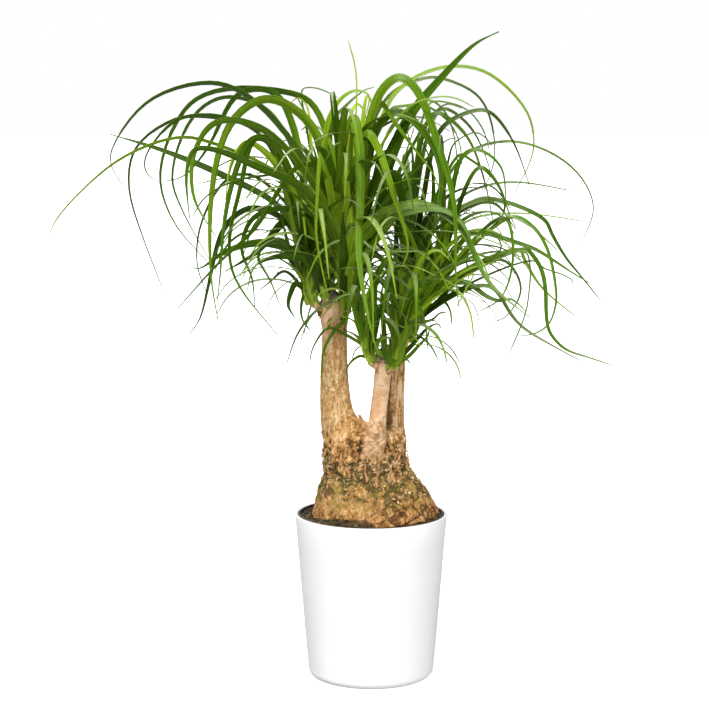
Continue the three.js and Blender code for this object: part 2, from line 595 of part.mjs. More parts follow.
function makePot() {
  const profile = [new THREE.Vector2(0, 0)];
  const foot = potRadius(0) + FOOT_FLARE;
  for (let k = 0; k <= FOOT_STEPS; k++) {
    const turn = (Math.PI / 2) * (k / FOOT_STEPS);
    const inwards = FOOT_ROUND * (1 - Math.sin(turn));
    profile.push(new THREE.Vector2(foot - inwards, FOOT_ROUND * (1 - Math.cos(turn))));
  }
  profile.push(
    new THREE.Vector2(potRadius(POT_HEIGHT - RIM_ROUND), POT_HEIGHT - RIM_ROUND),
    new THREE.Vector2(RIM_RADIUS - RIM_ROUND, POT_HEIGHT),
    new THREE.Vector2(RIM_RADIUS - POT_WALL + RIM_ROUND, POT_HEIGHT),
    new THREE.Vector2(potRadius(POT_HEIGHT - RIM_ROUND) - POT_WALL, POT_HEIGHT - RIM_ROUND),
    new THREE.Vector2(potRadius(POT_FLOOR + FLOOR_ROUND) - POT_WALL, POT_FLOOR + FLOOR_ROUND),
    new THREE.Vector2(potRadius(POT_FLOOR) - POT_WALL - FLOOR_ROUND, POT_FLOOR),
    new THREE.Vector2(0, POT_FLOOR),
  );
  return solidOf(new THREE.LatheGeometry(profile, POT_SIDES).rotateX(Math.PI / 2));
}

// How far waves stand out at a turn round a section and a height.
function waveOf(waves, turn, z) {
  return waves.reduce((sum, { depth, count, tall }) => sum + depth * Math.sin(count * turn + z / tall), 0);
}

function nurseryRadius(z) {
  return potRadius(z) - POT_WALL - NURSERY_CLEARANCE;
}

function makeNurseryPot() {
  const floor = POT_FLOOR + FIT_GAP;
  const foot = nurseryRadius(floor) - NURSERY_FOOT_IN;
  const beadFoot = NURSERY_TOP - NURSERY_BEAD;
  const wallTop = nurseryRadius(beadFoot) - NURSERY_BEAD_STEP;
  const profile = [
    new THREE.Vector2(0, floor),
    new THREE.Vector2(foot - NURSERY_ROUND, floor),
    new THREE.Vector2(foot, floor + NURSERY_ROUND),
    new THREE.Vector2(wallTop, beadFoot),
    new THREE.Vector2(nurseryRadius(beadFoot) + NURSERY_BEAD_OUT, beadFoot + NURSERY_BEVEL),
    new THREE.Vector2(nurseryRadius(NURSERY_TOP) + NURSERY_BEAD_OUT, NURSERY_TOP - NURSERY_BEVEL),
    new THREE.Vector2(nurseryRadius(NURSERY_TOP) - NURSERY_BEAD_STEP, NURSERY_TOP),
    new THREE.Vector2(wallTop - NURSERY_WALL, NURSERY_TOP),
    new THREE.Vector2(wallTop - NURSERY_WALL, beadFoot),
    new THREE.Vector2(foot - NURSERY_WALL, floor + NURSERY_WALL + NURSERY_ROUND),
    new THREE.Vector2(foot - NURSERY_WALL - NURSERY_ROUND, floor + NURSERY_WALL),
    new THREE.Vector2(0, floor + NURSERY_WALL),
  ];
  let pot = solidOf(new THREE.LatheGeometry(profile, POT_SIDES).rotateX(Math.PI / 2));
  for (let k = 0; k < DRAINS; k++) {
    const turn = (2 * Math.PI * (k + 0.5)) / DRAINS;
    const drain = new THREE.CylinderGeometry(DRAIN_RADIUS, DRAIN_RADIUS, 4 * NURSERY_WALL, DRAIN_SIDES)
      .rotateX(Math.PI / 2)
      .translate(DRAIN_CIRCLE * Math.cos(turn), DRAIN_CIRCLE * Math.sin(turn), floor + NURSERY_WALL / 2);
    pot = pot.subtract(solidOf(drain));
  }
  return pot;
}

// One ring of the swollen foot, wider all round by extra.
function caudexRing([z, left, right, middle, half], extra) {
  return Array.from({ length: TRUNK_SIDES }, (_, k) => {
    const turn = (2 * Math.PI * k) / TRUNK_SIDES;
    const bare = THREE.MathUtils.smoothstep(z, WAVES_START, WAVES_FULL);
    const uneven = 1 + (BURIED_WAVES + (1 - BURIED_WAVES) * bare) * waveOf(FOOT_WAVES, turn, z);
    return new THREE.Vector3(
      (left + right) / 2 + ((right - left) / 2 + extra) * uneven * Math.cos(turn),
      middle + (half + extra) * uneven * Math.sin(turn),
      z,
    );
  });
}

function makeSoil() {
  const foot = POT_FLOOR + FIT_GAP + NURSERY_WALL + FIT_GAP;
  const wall = NURSERY_WALL + 2 * FIT_GAP;
  const low = nurseryRadius(foot) - NURSERY_FOOT_IN - wall;
  const high = nurseryRadius(NURSERY_TOP - NURSERY_BEAD) - NURSERY_BEAD_STEP - wall;
  const profile = [
    new THREE.Vector2(0, foot),
    new THREE.Vector2(low - SOIL_CORNER, foot),
    new THREE.Vector2(low, foot + SOIL_CORNER),
    new THREE.Vector2(high - FIT_GAP, SOIL_LEVEL - SOIL_CORNER),
    ...SOIL_TOP.map(([inwards, above]) => new THREE.Vector2(high - inwards, SOIL_LEVEL + above)),
    new THREE.Vector2(0, SOIL_LEVEL),
  ];
  const body = new THREE.LatheGeometry(profile, POT_SIDES).rotateX(Math.PI / 2);
  const place = body.attributes.position;
  for (let i = 0; i < place.count; i++) {
    const [x, y, z] = [place.getX(i), place.getY(i), place.getZ(i)];
    const reach = Math.hypot(x, y);
    if (z > SOIL_LEVEL - SOIL_DISH && reach > 1) {
      place.setZ(i, z + SOIL_LUMP * Math.sin(x / SOIL_WAVE[0] + 1) * Math.cos(y / SOIL_WAVE[1]));
    }
  }
  const buried = CAUDEX.filter(([z]) => z < HOLE_TOP);
  const [z, ...rest] = buried[0];
  const hole = buried.map((row) => caudexRing(row, HOLE_GAP));
  hole.unshift(caudexRing([z - FIT_GAP, ...rest], HOLE_GAP));
  return wholeOf(solidOf(body).subtract(loft(hole)));
}

function makeTrunk() {
  let wood = loft(CAUDEX.map((row) => caudexRing(row, 0)));
  wood = wood.add(limb(LEFT_TRUNK, LIMB_SIDES + 3, 0, LEFT_FLUTES));
  wood = wood.add(limb(FRONT_BRANCH, LIMB_SIDES - 3, 0, FRONT_FLUTES));
  wood = wood.add(limb(SADDLE, LIMB_SIDES - 3));
  wood = wood.add(limb(BACK_TRUNK, LIMB_SIDES, 0, BACK_FLUTES));
  for (const { axis } of Object.values(SHOOTS)) {
    wood = wood.subtract(limb(axis, STEM_SIDES, FIT_GAP));
  }
  return wholeOf(wood);
}

// The point at a share of a stem's length.
function stemPoint(axis, share) {
  const centres = axis.map(([x, y, z]) => new THREE.Vector3(x, y, z));
  const lengths = centres.slice(1).map((p, i) => p.distanceTo(centres[i]));
  let left = share * lengths.reduce((a, b) => a + b, 0);
  for (let i = 0; i < lengths.length; i++) {
    if (left <= lengths[i] || i === lengths.length - 1) {
      return centres[i].clone().lerp(centres[i + 1], Math.min(1, left / lengths[i]));
    }
    left -= lengths[i];
  }
  return centres[0];
}

// Stations of a leaf seen from the front, swung along the line of sight.
function seenStations(shoot, swing, path, order) {
  const { axis } = SHOOTS[shoot];
  const low = axis[0][2];
  const high = axis[axis.length - 1][2];
  const reach = THREE.MathUtils.clamp((path[0][1] - ROOT_DROP - low) / (high - low), ROOT_LOWEST, 1);
  const share = reach - (reach - ROOT_LOWEST) * ROOT_SPREAD * ((order * GOLDEN_SHARE) % 1);
  const root = stemPoint(axis, share);
  const steps = path.map(([x, z], i) => {
    const [px, pz] = i ? path[i - 1] : [root.x, root.z];
    return Math.hypot(x - px, z - pz);
  });
  const total = steps.reduce((a, b) => a + b, 0);
  let run = 0;
  const stations = [root];
  path.forEach(([x, z], i) => {
    run += steps[i];
    const y = root.y + swing * Math.pow(run / total, SWING_POWER);
    const near = 1 + y / -EYE.y;
    stations.push(new THREE.Vector3(EYE.x + (x - EYE.x) * near, y, EYE.z + (z - EYE.z) * near));
  });
  return stations;
}

// Stations of a leaf that starts along a bearing at a launch angle and bows down under its own weight.
function sprayStations(root, { bearing, launch, droop, length, bow, drift }) {
  const steps = SPRAY_STATIONS * SPRAY_SUBSTEPS;
  const stations = [root.clone()];
  const here = root.clone();
  for (let i = 0; i < steps; i++) {
    const share = (i + 0.5) / steps;
    const rise = launch + (droop - launch) * Math.pow(share, bow);
    const flat = (Math.cos(rise) * length) / steps;
    here.x += flat * Math.cos(bearing + drift * share);
    here.y += flat * Math.sin(bearing + drift * share);
    here.z += (Math.sin(rise) * length) / steps;
    if ((i + 1) % SPRAY_SUBSTEPS === 0) stations.push(here.clone());
  }
  return stations;
}

function leafWidth(share) {
  const taper = Math.max(LEAF_TIP_SHARE, 1 - Math.pow(share, TAPER_POWER));
  return taper * (1 - ROOT_NARROW * Math.exp(-share * ROOT_FADE));
}

function tangentAt(stations, i) {
  const last = stations.length - 1;
  return stations[Math.min(i + 1, last)].clone().sub(stations[Math.max(i - 1, 0)]).normalize();
}

function shareAlong(stations) {
  const runs = [0];
  for (let i = 1; i < stations.length; i++) runs.push(runs[i - 1] + stations[i].distanceTo(stations[i - 1]));
  return runs.map((run) => run / runs[runs.length - 1]);
}

// Which way a seen leaf's width lies: towards the viewer, turned by the share of its face that shows.
function seenSide(stations, i, share, shown) {
  const along = tangentAt(stations, i);
  const sight = stations[i].clone().sub(EYE).normalize();
  const across = new THREE.Vector3().crossVectors(along, sight).normalize();
  const face = shown[0] + (shown[1] - shown[0]) * share;
  const side = across.multiplyScalar(face).addScaledVector(sight, Math.sqrt(1 - face * face));
  return side.addScaledVector(along, -side.dot(along)).normalize();
}

// Which way a spray leaf's width lies: level, then rolled about its length towards the tip.
function spraySide(stations, i, share, bearing, roll) {
  const along = tangentAt(stations, i);
  const level = new THREE.Vector3(-Math.sin(bearing), Math.cos(bearing), 0);
  level.addScaledVector(along, -level.dot(along)).normalize();
  return level.applyAxisAngle(along, roll * share);
}

// Half widths of a blade, made less where a tight turn would bring one of its edges back on itself.
function halfWidths(stations, sides, width) {
  const halves = shareAlong(stations).map((share) => (width * leafWidth(share)) / 2);
  for (let round = 0; round < TURN_ROUNDS; round++) {
    for (let i = 0; i < stations.length - 2; i++) {
      const step = stations[i + 1].clone().sub(stations[i]);
      const least = TURN_ROOM * step.length();
      const spread = sides[i + 1].clone().multiplyScalar(halves[i + 1]).addScaledVector(sides[i], -halves[i]);
      const tight = [tangentAt(stations, i), tangentAt(stations, i + 1)]
        .some((along) => step.dot(along) - Math.abs(spread.dot(along)) < least);
      if (!tight) continue;
      halves[i] *= TURN_SHRINK;
      halves[i + 1] *= TURN_SHRINK;
    }
  }
  return halves;
}

// Whether a face of a blade bulges out when it is split from its first point rather than its second.
function bulges(points, ring, i, a, b) {
  const centre = new THREE.Vector3();
  for (let k = 0; k < 2 * ring; k++) centre.addScaledVector(points[i * ring + k], 0.5 / ring);
  const first = points[a].clone().add(points[b + ring]).multiplyScalar(0.5);
  const second = points[b].clone().add(points[a + ring]).multiplyScalar(0.5);
  const out = first.clone().add(second).multiplyScalar(0.5).sub(centre);
  return first.sub(second).dot(out) > 0;
}

// A blade through its stations: channelled with four sides, or keeled with three where it is narrow.
function bladeSolid(stations, sides, width) {
  const halves = halfWidths(stations, sides, width);
  const last = stations.length - 1;
  const narrow = width < LEAF_NARROW;
  const points = [];
  for (let i = 0; i < last; i++) {
    const half = halves[i];
    const deep = LEAF_THICKNESS / 2;
    const side = sides[i];
    const up = new THREE.Vector3().crossVectors(side, tangentAt(stations, i)).normalize();
    const at = (across, high) => stations[i].clone().addScaledVector(side, across).addScaledVector(up, high);
    const lift = half * LEAF_CHANNEL * 2;
    if (narrow) points.push(at(-half, deep), at(half, deep), at(0, -deep));
    else points.push(at(-half, lift), at(0, deep), at(half, lift), at(0, -deep));
  }
  const ring = narrow ? 3 : 4;
  const tip = points.push(stations[last].clone()) - 1;
  const triangles = [];
  for (let i = 0; i < last - 1; i++) {
    for (let k = 0; k < ring; k++) {
      const a = i * ring + k;
      const b = i * ring + (k + 1) % ring;
      const fromFirst = narrow ? bulges(points, ring, i, a, b) : k === 0 || k === 2;
      if (fromFirst) triangles.push([a, b, b + ring], [a, b + ring, a + ring]);
      else triangles.push([a, b, a + ring], [b, b + ring, a + ring]);
    }
  }
  for (let k = 0; k < ring; k++) {
    const a = (last - 1) * ring + k;
    const b = (last - 1) * ring + (k + 1) % ring;
    triangles.push([a, b, tip]);
  }
  triangles.push([0, 2, 1]);
  if (!narrow) triangles.push([0, 3, 2]);
  return solidFrom(points, triangles);
}

// Space already taken, as points with a half width, filed by cell.
const taken = new Map();

function cellOf(x, y, z) {
  return Math.floor(x / CELL) + "," + Math.floor(y / CELL) + "," + Math.floor(z / CELL);
}

function samplesOf(stations, halfAt) {
  const shares = shareAlong(stations);
  const samples = [];
  for (let i = 0; i < stations.length - 1; i++) {
    const count = Math.max(1, Math.ceil(stations[i].distanceTo(stations[i + 1]) / SAMPLE_STEP));
    for (let k = 0; k < count; k++) {
      const share = shares[i] + ((shares[i + 1] - shares[i]) * k) / count;
      samples.push({ at: stations[i].clone().lerp(stations[i + 1], k / count), half: halfAt(share) });
    }
  }
  return samples;
}

function takeSpace(owner, samples) {
  for (const { at, half } of samples) {
    const key = cellOf(at.x, at.y, at.z);
    if (!taken.has(key)) taken.set(key, []);
    taken.get(key).push({ at, half, owner });
  }
}

// The least room between samples and what other owners hold, after the half widths are taken off.
function roomAround(owner, samples) {
  let least = CELL;
  for (const { at, half } of samples) {
    for (let i = -1; i <= 1; i++) {
      for (let j = -1; j <= 1; j++) {
        for (let k = -1; k <= 1; k++) {
          const near = taken.get(cellOf(at.x + i * CELL, at.y + j * CELL, at.z + k * CELL)) ?? [];
          for (const other of near) {
            if (other.owner === owner) continue;
            least = Math.min(least, at.distanceTo(other.at) - WIDTH_COUNTED * (half + other.half));
          }
        }
      }
    }
  }
  return least;
}

// Takes the space of a limb or stem, a little wider than it is.
function takeStem(owner, path) {
  const stations = path.map(([x, y, z]) => new THREE.Vector3(x, y, z));
  const shares = shareAlong(stations);
  const halfAt = (share) => {
    const i = Math.max(0, shares.findIndex((s) => s > share) - 1);
    return (path[i][3] + STEM_ROOM) / WIDTH_COUNTED;
  };
  takeSpace(owner, samplesOf(stations, halfAt));
}

// The leaves that can be followed from the front, each where it clears the other shoots.
function growSeenLeaves(blades) {
  for (const [order, leaf] of SEEN_LEAVES.entries()) {
    const { shoot, swing, shown, path } = leaf;
    const width = leaf.width / Math.max(...shown);
    let best = { room: -Infinity };
    for (const step of SWING_STEPS) {
      const stations = seenStations(shoot, swing + step, path, order);
      const samples = samplesOf(stations, (share) => (width * leafWidth(share)) / 2);
      const room = roomAround(shoot, samples);
      if (room > best.room) best = { stations, samples, room };
      if (room > LEAST_ROOM) break;
    }
    if (best.room < LEAST_ROOM) continue;
    const shares = shareAlong(best.stations);
    const sides = best.stations.map((_, i) => seenSide(best.stations, i, shares[i], shown));
    takeSpace(shoot, best.samples);
    blades[shoot].push(bladeSolid(best.stations, sides, width));
  }
}

// The leaves that fill each shoot all round, spaced by the golden angle from its foot to its tip. One that
// would meet another shoot is left out.
function growSpray(shoot, blades) {
  const { axis, spray } = SHOOTS[shoot];
  for (let k = 0; k < spray.count; k++) {
    const youth = k / (spray.count - 1);
    const bearing = k * GOLDEN_ANGLE + BEARING_SPREAD * draw();
    const shorter = 1 - SIDEWAYS_SHORTER * Math.cos(bearing) ** 2;
    const length = (spray.shortest + (spray.longest - spray.shortest) * draw()) * shorter;
    const launch = THREE.MathUtils.degToRad(
      LAUNCH_YOUNG - LAUNCH_AGED * (1 - youth) + LAUNCH_SPREAD * (draw() - SPREAD_MIDDLE));
    const droop = THREE.MathUtils.degToRad(
      DROOP_YOUNG - DROOP_AGED * (1 - youth) + DROOP_SPREAD * (draw() - SPREAD_MIDDLE));
    const bow = BOW_LEAST + BOW_SPREAD * draw();
    const drift = DRIFT_RANGE * (draw() - 0.5);
    const roll = (draw() - 0.5) * ROLL_RANGE;
    const width = spray.width * (WIDTH_LEAST + WIDTH_SPREAD * draw());
    const root = stemPoint(axis, ROOT_LOWEST + (1 - ROOT_LOWEST) * youth);
    const stations = sprayStations(root, { bearing, launch, droop, length, bow, drift });
    const samples = samplesOf(stations, (share) => (width * leafWidth(share)) / 2);
    if (roomAround(shoot, samples) < LEAST_ROOM) continue;
    const shares = shareAlong(stations);
    const sides = stations.map((_, i) => spraySide(stations, i, shares[i], bearing, roll));
    takeSpace(shoot, samples);
    blades[shoot].push(bladeSolid(stations, sides, width));
  }
}

// Every shoot's blades, by the shoot's name.
function growLeaves() {
  const blades = Object.fromEntries(Object.keys(SHOOTS).map((name) => [name, []]));
  for (const path of [LEFT_TRUNK, FRONT_BRANCH, BACK_TRUNK]) takeStem("trunk", path);
  for (const [name, { axis }] of Object.entries(SHOOTS)) takeStem(name, axis.slice(1));
  growSeenLeaves(blades);
  for (const name of Object.keys(SHOOTS)) growSpray(name, blades);
  return blades;
}

const group = new THREE.Group();

function place(name, solid, colour, roughness) {
  const material = new THREE.MeshStandardMaterial({ color: colour, roughness, metalness: 0 });
  const mesh = new THREE.Mesh(geometryOf(solid), material);
  mesh.name = name;
  group.add(mesh);
}

place("pot", makePot(), 0xf3f3f1, 0.35);
place("grow_pot", makeNurseryPot(), 0x1a1a1a, 0.6);
place("soil", makeSoil(), 0x3b2b1e, 0.95);
place("trunk", makeTrunk(), 0xa5814f, 0.85);
const blades = growLeaves();
for (const [name, { axis, colour }] of Object.entries(SHOOTS)) {
  const stem = limb(axis, STEM_SIDES);
  place(name, wholeOf(blades[name].reduce((all, blade) => all.add(blade), stem)), colour, 0.5);
}

export default group;
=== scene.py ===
"""Looks of a potted ponytail palm, built around its fixed frame.

Metres, +Z up, with the origin at the centre of the pot's flat underside. The lists of leaves and stems
are in millimetres, as they were measured. The same rules and the same draws lay out the leaves here and
in the solids, so a leaf here runs along, or close to, the solid leaf that it replaces.
"""
import logging
import math
from contextlib import contextmanager
from dataclasses import dataclass, field
from enum import Enum
from itertools import product
from typing import Callable, Iterable, Iterator, NamedTuple, Sequence

import bpy
import numpy as np
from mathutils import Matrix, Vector, noise


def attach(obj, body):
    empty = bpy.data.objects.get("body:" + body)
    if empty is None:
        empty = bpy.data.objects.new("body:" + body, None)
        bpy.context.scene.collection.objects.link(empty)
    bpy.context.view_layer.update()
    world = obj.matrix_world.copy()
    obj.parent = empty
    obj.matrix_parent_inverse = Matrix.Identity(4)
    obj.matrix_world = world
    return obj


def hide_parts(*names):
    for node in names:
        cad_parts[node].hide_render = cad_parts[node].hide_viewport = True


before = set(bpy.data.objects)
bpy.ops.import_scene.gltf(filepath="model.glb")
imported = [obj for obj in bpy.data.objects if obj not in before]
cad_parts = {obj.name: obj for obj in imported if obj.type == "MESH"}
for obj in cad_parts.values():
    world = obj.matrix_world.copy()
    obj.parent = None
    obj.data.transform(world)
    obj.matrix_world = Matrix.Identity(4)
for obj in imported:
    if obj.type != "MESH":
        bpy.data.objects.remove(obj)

LOG = logging.getLogger("ponytail_palm")
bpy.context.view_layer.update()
MM = 0.001
SEED = 20261128

# Where the viewer stands, and what the lens takes in.
EYE = np.array([-0.0196, -2.3, 0.690])
LOOK_DOWN = math.radians(7.8)
LENS = 98.5
SENSOR = 36.0

Colour = tuple[float, float, float, float]
Rows = Sequence[Sequence[float]]
Samples = Iterable[tuple[float, ...]]
Array = np.ndarray
Piece = bpy.types.Object
Node = bpy.types.Node
Socket = bpy.types.NodeSocket


def rgb(red: float, green: float, blue: float) -> Colour:
    """An opaque colour in linear light."""
    return (red, green, blue, 1.0)


class Draws:
    """A repeatable source of numbers, the same as the solids use."""

    def __init__(self, seed: int) -> None:
        """Starts at a seed."""
        self.state = seed

    def one(self) -> float:
        """The next number from 0 to 1."""
        self.state = (self.state * 1664525 + 1013904223) % 4294967296
        return self.state / 4294967296

    def between(self, low: float, high: float) -> float:
        """The next number from low to high."""
        return low + (high - low) * self.one()


def pick(*pieces: Piece) -> None:
    """Selects objects alone, in object mode, and makes the first one active.

    Args:
        *pieces: The objects. With none, nothing stays selected.
    """
    if bpy.context.object and bpy.context.object.mode != "OBJECT":
        bpy.ops.object.mode_set(mode="OBJECT")
    bpy.ops.object.select_all(action="DESELECT")
    for piece in pieces:
        piece.select_set(True)
    if pieces:
        bpy.context.view_layer.objects.active = pieces[0]


def added(operator: Callable[..., object], **sizes: object) -> Piece:
    """Adds a primitive with nothing else selected.

    Args:
        operator: Blender's operator for the primitive.
        **sizes: What the operator is given.

    Returns:
        The new object.
    """
    pick()
    operator(**sizes)
    return bpy.context.object


@contextmanager
def editing(piece: Piece) -> Iterator[None]:
    """Edit mode on one object, with all of it selected, for the length of a with block.

    Args:
        piece: The mesh object.
    """
    pick(piece)
    bpy.ops.object.mode_set(mode="EDIT")
    bpy.ops.mesh.select_all(action="SELECT")
    yield
    bpy.ops.object.mode_set(mode="OBJECT")


def join(piece: Piece, *others: Piece) -> Piece:
    """Joins other objects to one.

    Args:
        piece: The object that stays.
        *others: Those that are joined to it.

    Returns:
        The object that stays.
    """
    pick(piece, *others)
    bpy.ops.object.join()
    return piece


def points_of(piece: Piece, of: str = "co") -> Array:
    """The vertices of a mesh, or their normals.

    Args:
        piece: A mesh object.
        of: "co" for their places or "normal" for their normals.

    Returns:
        One row of x, y, z for each vertex.
    """
    flat = np.empty(len(piece.data.vertices) * 3)
    piece.data.vertices.foreach_get(of, flat)
    return flat.reshape(-1, 3)


def move_points(piece: Piece, points: Array) -> None:
    """Moves the vertices of a mesh to new places."""
    piece.data.vertices.foreach_set("co", points.astype(np.float32).ravel())
    piece.data.update()


def apply_modifier(piece: Piece, kind: str, **settings: object) -> None:
    """Adds a modifier to a piece and applies it.

    Args:
        piece: The mesh object.
        kind: Blender's name for the kind of modifier.
        **settings: Values of the modifier.
    """
    pick(piece)
    modifier = piece.modifiers.new(kind.title(), kind)
    for key, value in settings.items():
        setattr(modifier, key, value)
    bpy.ops.object.modifier_apply(modifier=modifier.name)


def copy_of_node(node: str, name: str) -> Piece:
    """Copies a frame node's mesh as an object of its own, and merges its doubled vertices.

    Args:
        node: The frame node's name.
        name: The copy's name.

    Returns:
        The copy, without the node's properties and materials.
    """
    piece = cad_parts[node].copy()
    piece.data = piece.data.copy()
    piece.name = piece.data.name = name
    piece.parent = None
    for key in list(piece.keys()):
        del piece[key]
    piece.hide_render = False
    piece.data.materials.clear()
    bpy.context.scene.collection.objects.link(piece)
    with editing(piece):
        bpy.ops.mesh.remove_doubles(threshold=0.00002)
    return piece


def gathered(name: str, points: Sequence[Array], faces: Sequence[Sequence[int]]) -> Piece:
    """Makes one object of many bent or turned copies of a pattern.

    Args:
        name: The new object's name.
        points: The vertices of each copy.
        faces: The faces of all the copies.

    Returns:
        The object.
    """
    mesh = bpy.data.meshes.new(name)
    mesh.from_pydata(np.concatenate(points).tolist(), [], faces)
    piece = bpy.data.objects.new(name, mesh)
    bpy.context.scene.collection.objects.link(piece)
    return piece


def paint_points(piece: Piece, name: str, values: Array) -> None:
    """Stores three numbers for each vertex as a colour attribute.

    Args:
        piece: The mesh object.
        name: The attribute's name.
        values: One row of three numbers for each vertex.
    """
    layer = piece.data.attributes.new(name, "FLOAT_COLOR", "POINT")
    full = np.ones((len(values), 4), np.float32)
    full[:, :3] = values
    layer.data.foreach_set("color", full.ravel())


def settle(piece: Piece, slot: str, finish: bpy.types.Material, *nodes: str) -> None:
    """Gives a finished piece its material and its body, and hides the frame nodes that it replaces.

    Args:
        piece: The finished piece.
        slot: The name of its slot. Not used.
        finish: Its material.
        *nodes: The frame nodes that it replaces.
    """
    piece.data.materials.clear()
    piece.data.materials.append(finish)
    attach(piece, "root")
    if nodes:
        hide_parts(*nodes)
    LOG.info("%s: %d faces", piece.name, len(piece.data.polygons))


def shade(piece: Piece, degrees: float) -> None:
    """Shades a piece smooth, apart from edges sharper than an angle."""
    pick(piece)
    bpy.ops.object.shade_smooth_by_angle(angle=math.radians(degrees))


class Wiring:
    """Adds and joins the nodes of one node tree."""

    def __init__(self, tree: bpy.types.NodeTree) -> None:
        """Works on a tree."""
        self.tree = tree

    def feed(self, node: Node, inputs: dict[object, object]) -> None:
        """Sets and joins inputs of a node.

        Args:
            node: The node.
            inputs: For an input's name or number, a value or an output socket to join to it.
        """
        for key, value in inputs.items():
            if isinstance(value, Socket):
                self.tree.links.new(value, node.inputs[key])
            else:
                node.inputs[key].default_value = value

    def add(self, kind: str, inputs: dict[object, object] | None = None, **values: object) -> Node:
        """Adds a node.

        Args:
            kind: The node's type, without the words ShaderNode in front.
            inputs: What its inputs are fed.
            **values: Properties of the node.

        Returns:
            The new node.
        """
        node = self.tree.nodes.new("ShaderNode" + kind)
        for key, value in values.items():
            setattr(node, key, value)
        self.feed(node, inputs or {})
        return node

    def mix(self, factor: object, first: object, second: object, blend: str = "MIX") -> Socket:
        """Mixes two colours and returns the mixed one."""
        return self.add("Mix", {0: factor, 6: first, 7: second}, data_type="RGBA", blend_type=blend,
                        clamp_factor=True).outputs[2]

    def rise(self, value: Socket, low: float, high: float, to_low: float = 0.0,
             to_high: float = 1.0) -> Socket:
        """Maps a value smoothly from one span to another and returns it."""
        return self.add("MapRange", {0: value, 1: low, 2: high, 3: to_low, 4: to_high},
                        interpolation_type="SMOOTHSTEP").outputs[0]

    def sum(self, first: object, second: object, operation: str = "ADD") -> Socket:
        """Works out a sum, or another operation, of two values."""
        return self.add("Math", {0: first, 1: second}, operation=operation).outputs[0]

    def times(self, first: object, second: object) -> Socket:
        """The product of two values."""
        return self.sum(first, second, "MULTIPLY")

    def noise(self, vector: Socket, scale: object, detail: float, roughness: float = 0.5) -> Socket:
        """Noise over a place, from 0 to 1."""
        return self.add("TexNoise", {"Vector": vector, "Scale": scale, "Detail": detail,
                                     "Roughness": roughness}).outputs[0]

    def ramp(self, value: Socket, *stops: tuple[float, Colour]) -> Socket:
        """Colours a value.

        Args:
            value: The value, from 0 to 1.
            *stops: Places from 0 to 1, each with its colour, the lowest first.

        Returns:
            The colour.
        """
        node = self.add("ValToRGB", {0: value})
        elements = node.color_ramp.elements
        elements[0].position, elements[0].color = stops[0]
        elements[1].position, elements[1].color = stops[-1]
        for position, colour in stops[1:-1]:
            elements.new(position).color = colour
        return node.outputs[0]


def group_of(name: str, ins: dict[str, object], outs: dict[str, object],
             build: Callable[[Wiring, Sequence[Socket]], dict[str, Socket]]) -> bpy.types.NodeTree:
    """Builds a shader node group once and returns it afterwards.

    Args:
        name: The group's name.
        ins: Each input's name with its first value.
        outs: Each output's name with a value of its kind.
        build: Wires the inside from what the group is given, and returns what it puts out.

    Returns:
        The node group.
    """
    if name in bpy.data.node_groups:
        return bpy.data.node_groups[name]
    tree = bpy.data.node_groups.new(name, "ShaderNodeTree")
    for side, sockets in (("INPUT", ins), ("OUTPUT", outs)):
        for key, value in sockets.items():
            kind = {1: "NodeSocketFloat", 3: "NodeSocketVector", 4: "NodeSocketColor"}[np.size(value)]
            tree.interface.new_socket(key, in_out=side, socket_type=kind).default_value = value
    wiring = Wiring(tree)
    entry = tree.nodes.new("NodeGroupInput")
    leave = tree.nodes.new("NodeGroupOutput")
    wiring.feed(leave, build(wiring, entry.outputs))
    return tree


def mottle_group() -> bpy.types.NodeTree:
    """Uneven colour: soft patches between a dark and a light colour.

    Returns:
        The group.
    """
    def build(wiring: Wiring, given: Sequence[Socket]) -> dict[str, Socket]:
        """Wires soft clouds to the two colours."""
        share = wiring.rise(wiring.noise(given["Vector"], given["Scale"], 5.0, 0.62), 0.36, 0.64)
        return {"Color": wiring.mix(share, given["Dark"], given["Light"]), "Share": share}
    ins = {"Vector": (0.0, 0.0, 0.0), "Scale": 40.0, "Dark": rgb(0, 0, 0), "Light": rgb(1, 1, 1)}
    return group_of("mottle", ins, {"Color": rgb(0, 0, 0), "Share": 0.0}, build)


def grain_group() -> bpy.types.NodeTree:
    """Fine grain, as a height: broad lumps with small grit on them.

    Returns:
        The group.
    """
    def build(wiring: Wiring, given: Sequence[Socket]) -> dict[str, Socket]:
        """Wires the lumps and the grit together.

        Args:
            wiring: The group's wiring.
            given: The group's inputs.

        Returns:
            The height.
        """
        lumps = wiring.noise(given["Vector"], given["Scale"], 4.0, 0.6)
        grit = wiring.noise(given["Vector"], wiring.times(given["Scale"], 4.3), 3.0)
        return {"Height": wiring.sum(lumps, wiring.times(grit, given["Grit"]))}
    ins = {"Vector": (0.0, 0.0, 0.0), "Scale": 200.0, "Grit": 0.4}
    return group_of("grain", ins, {"Height": 0.0}, build)


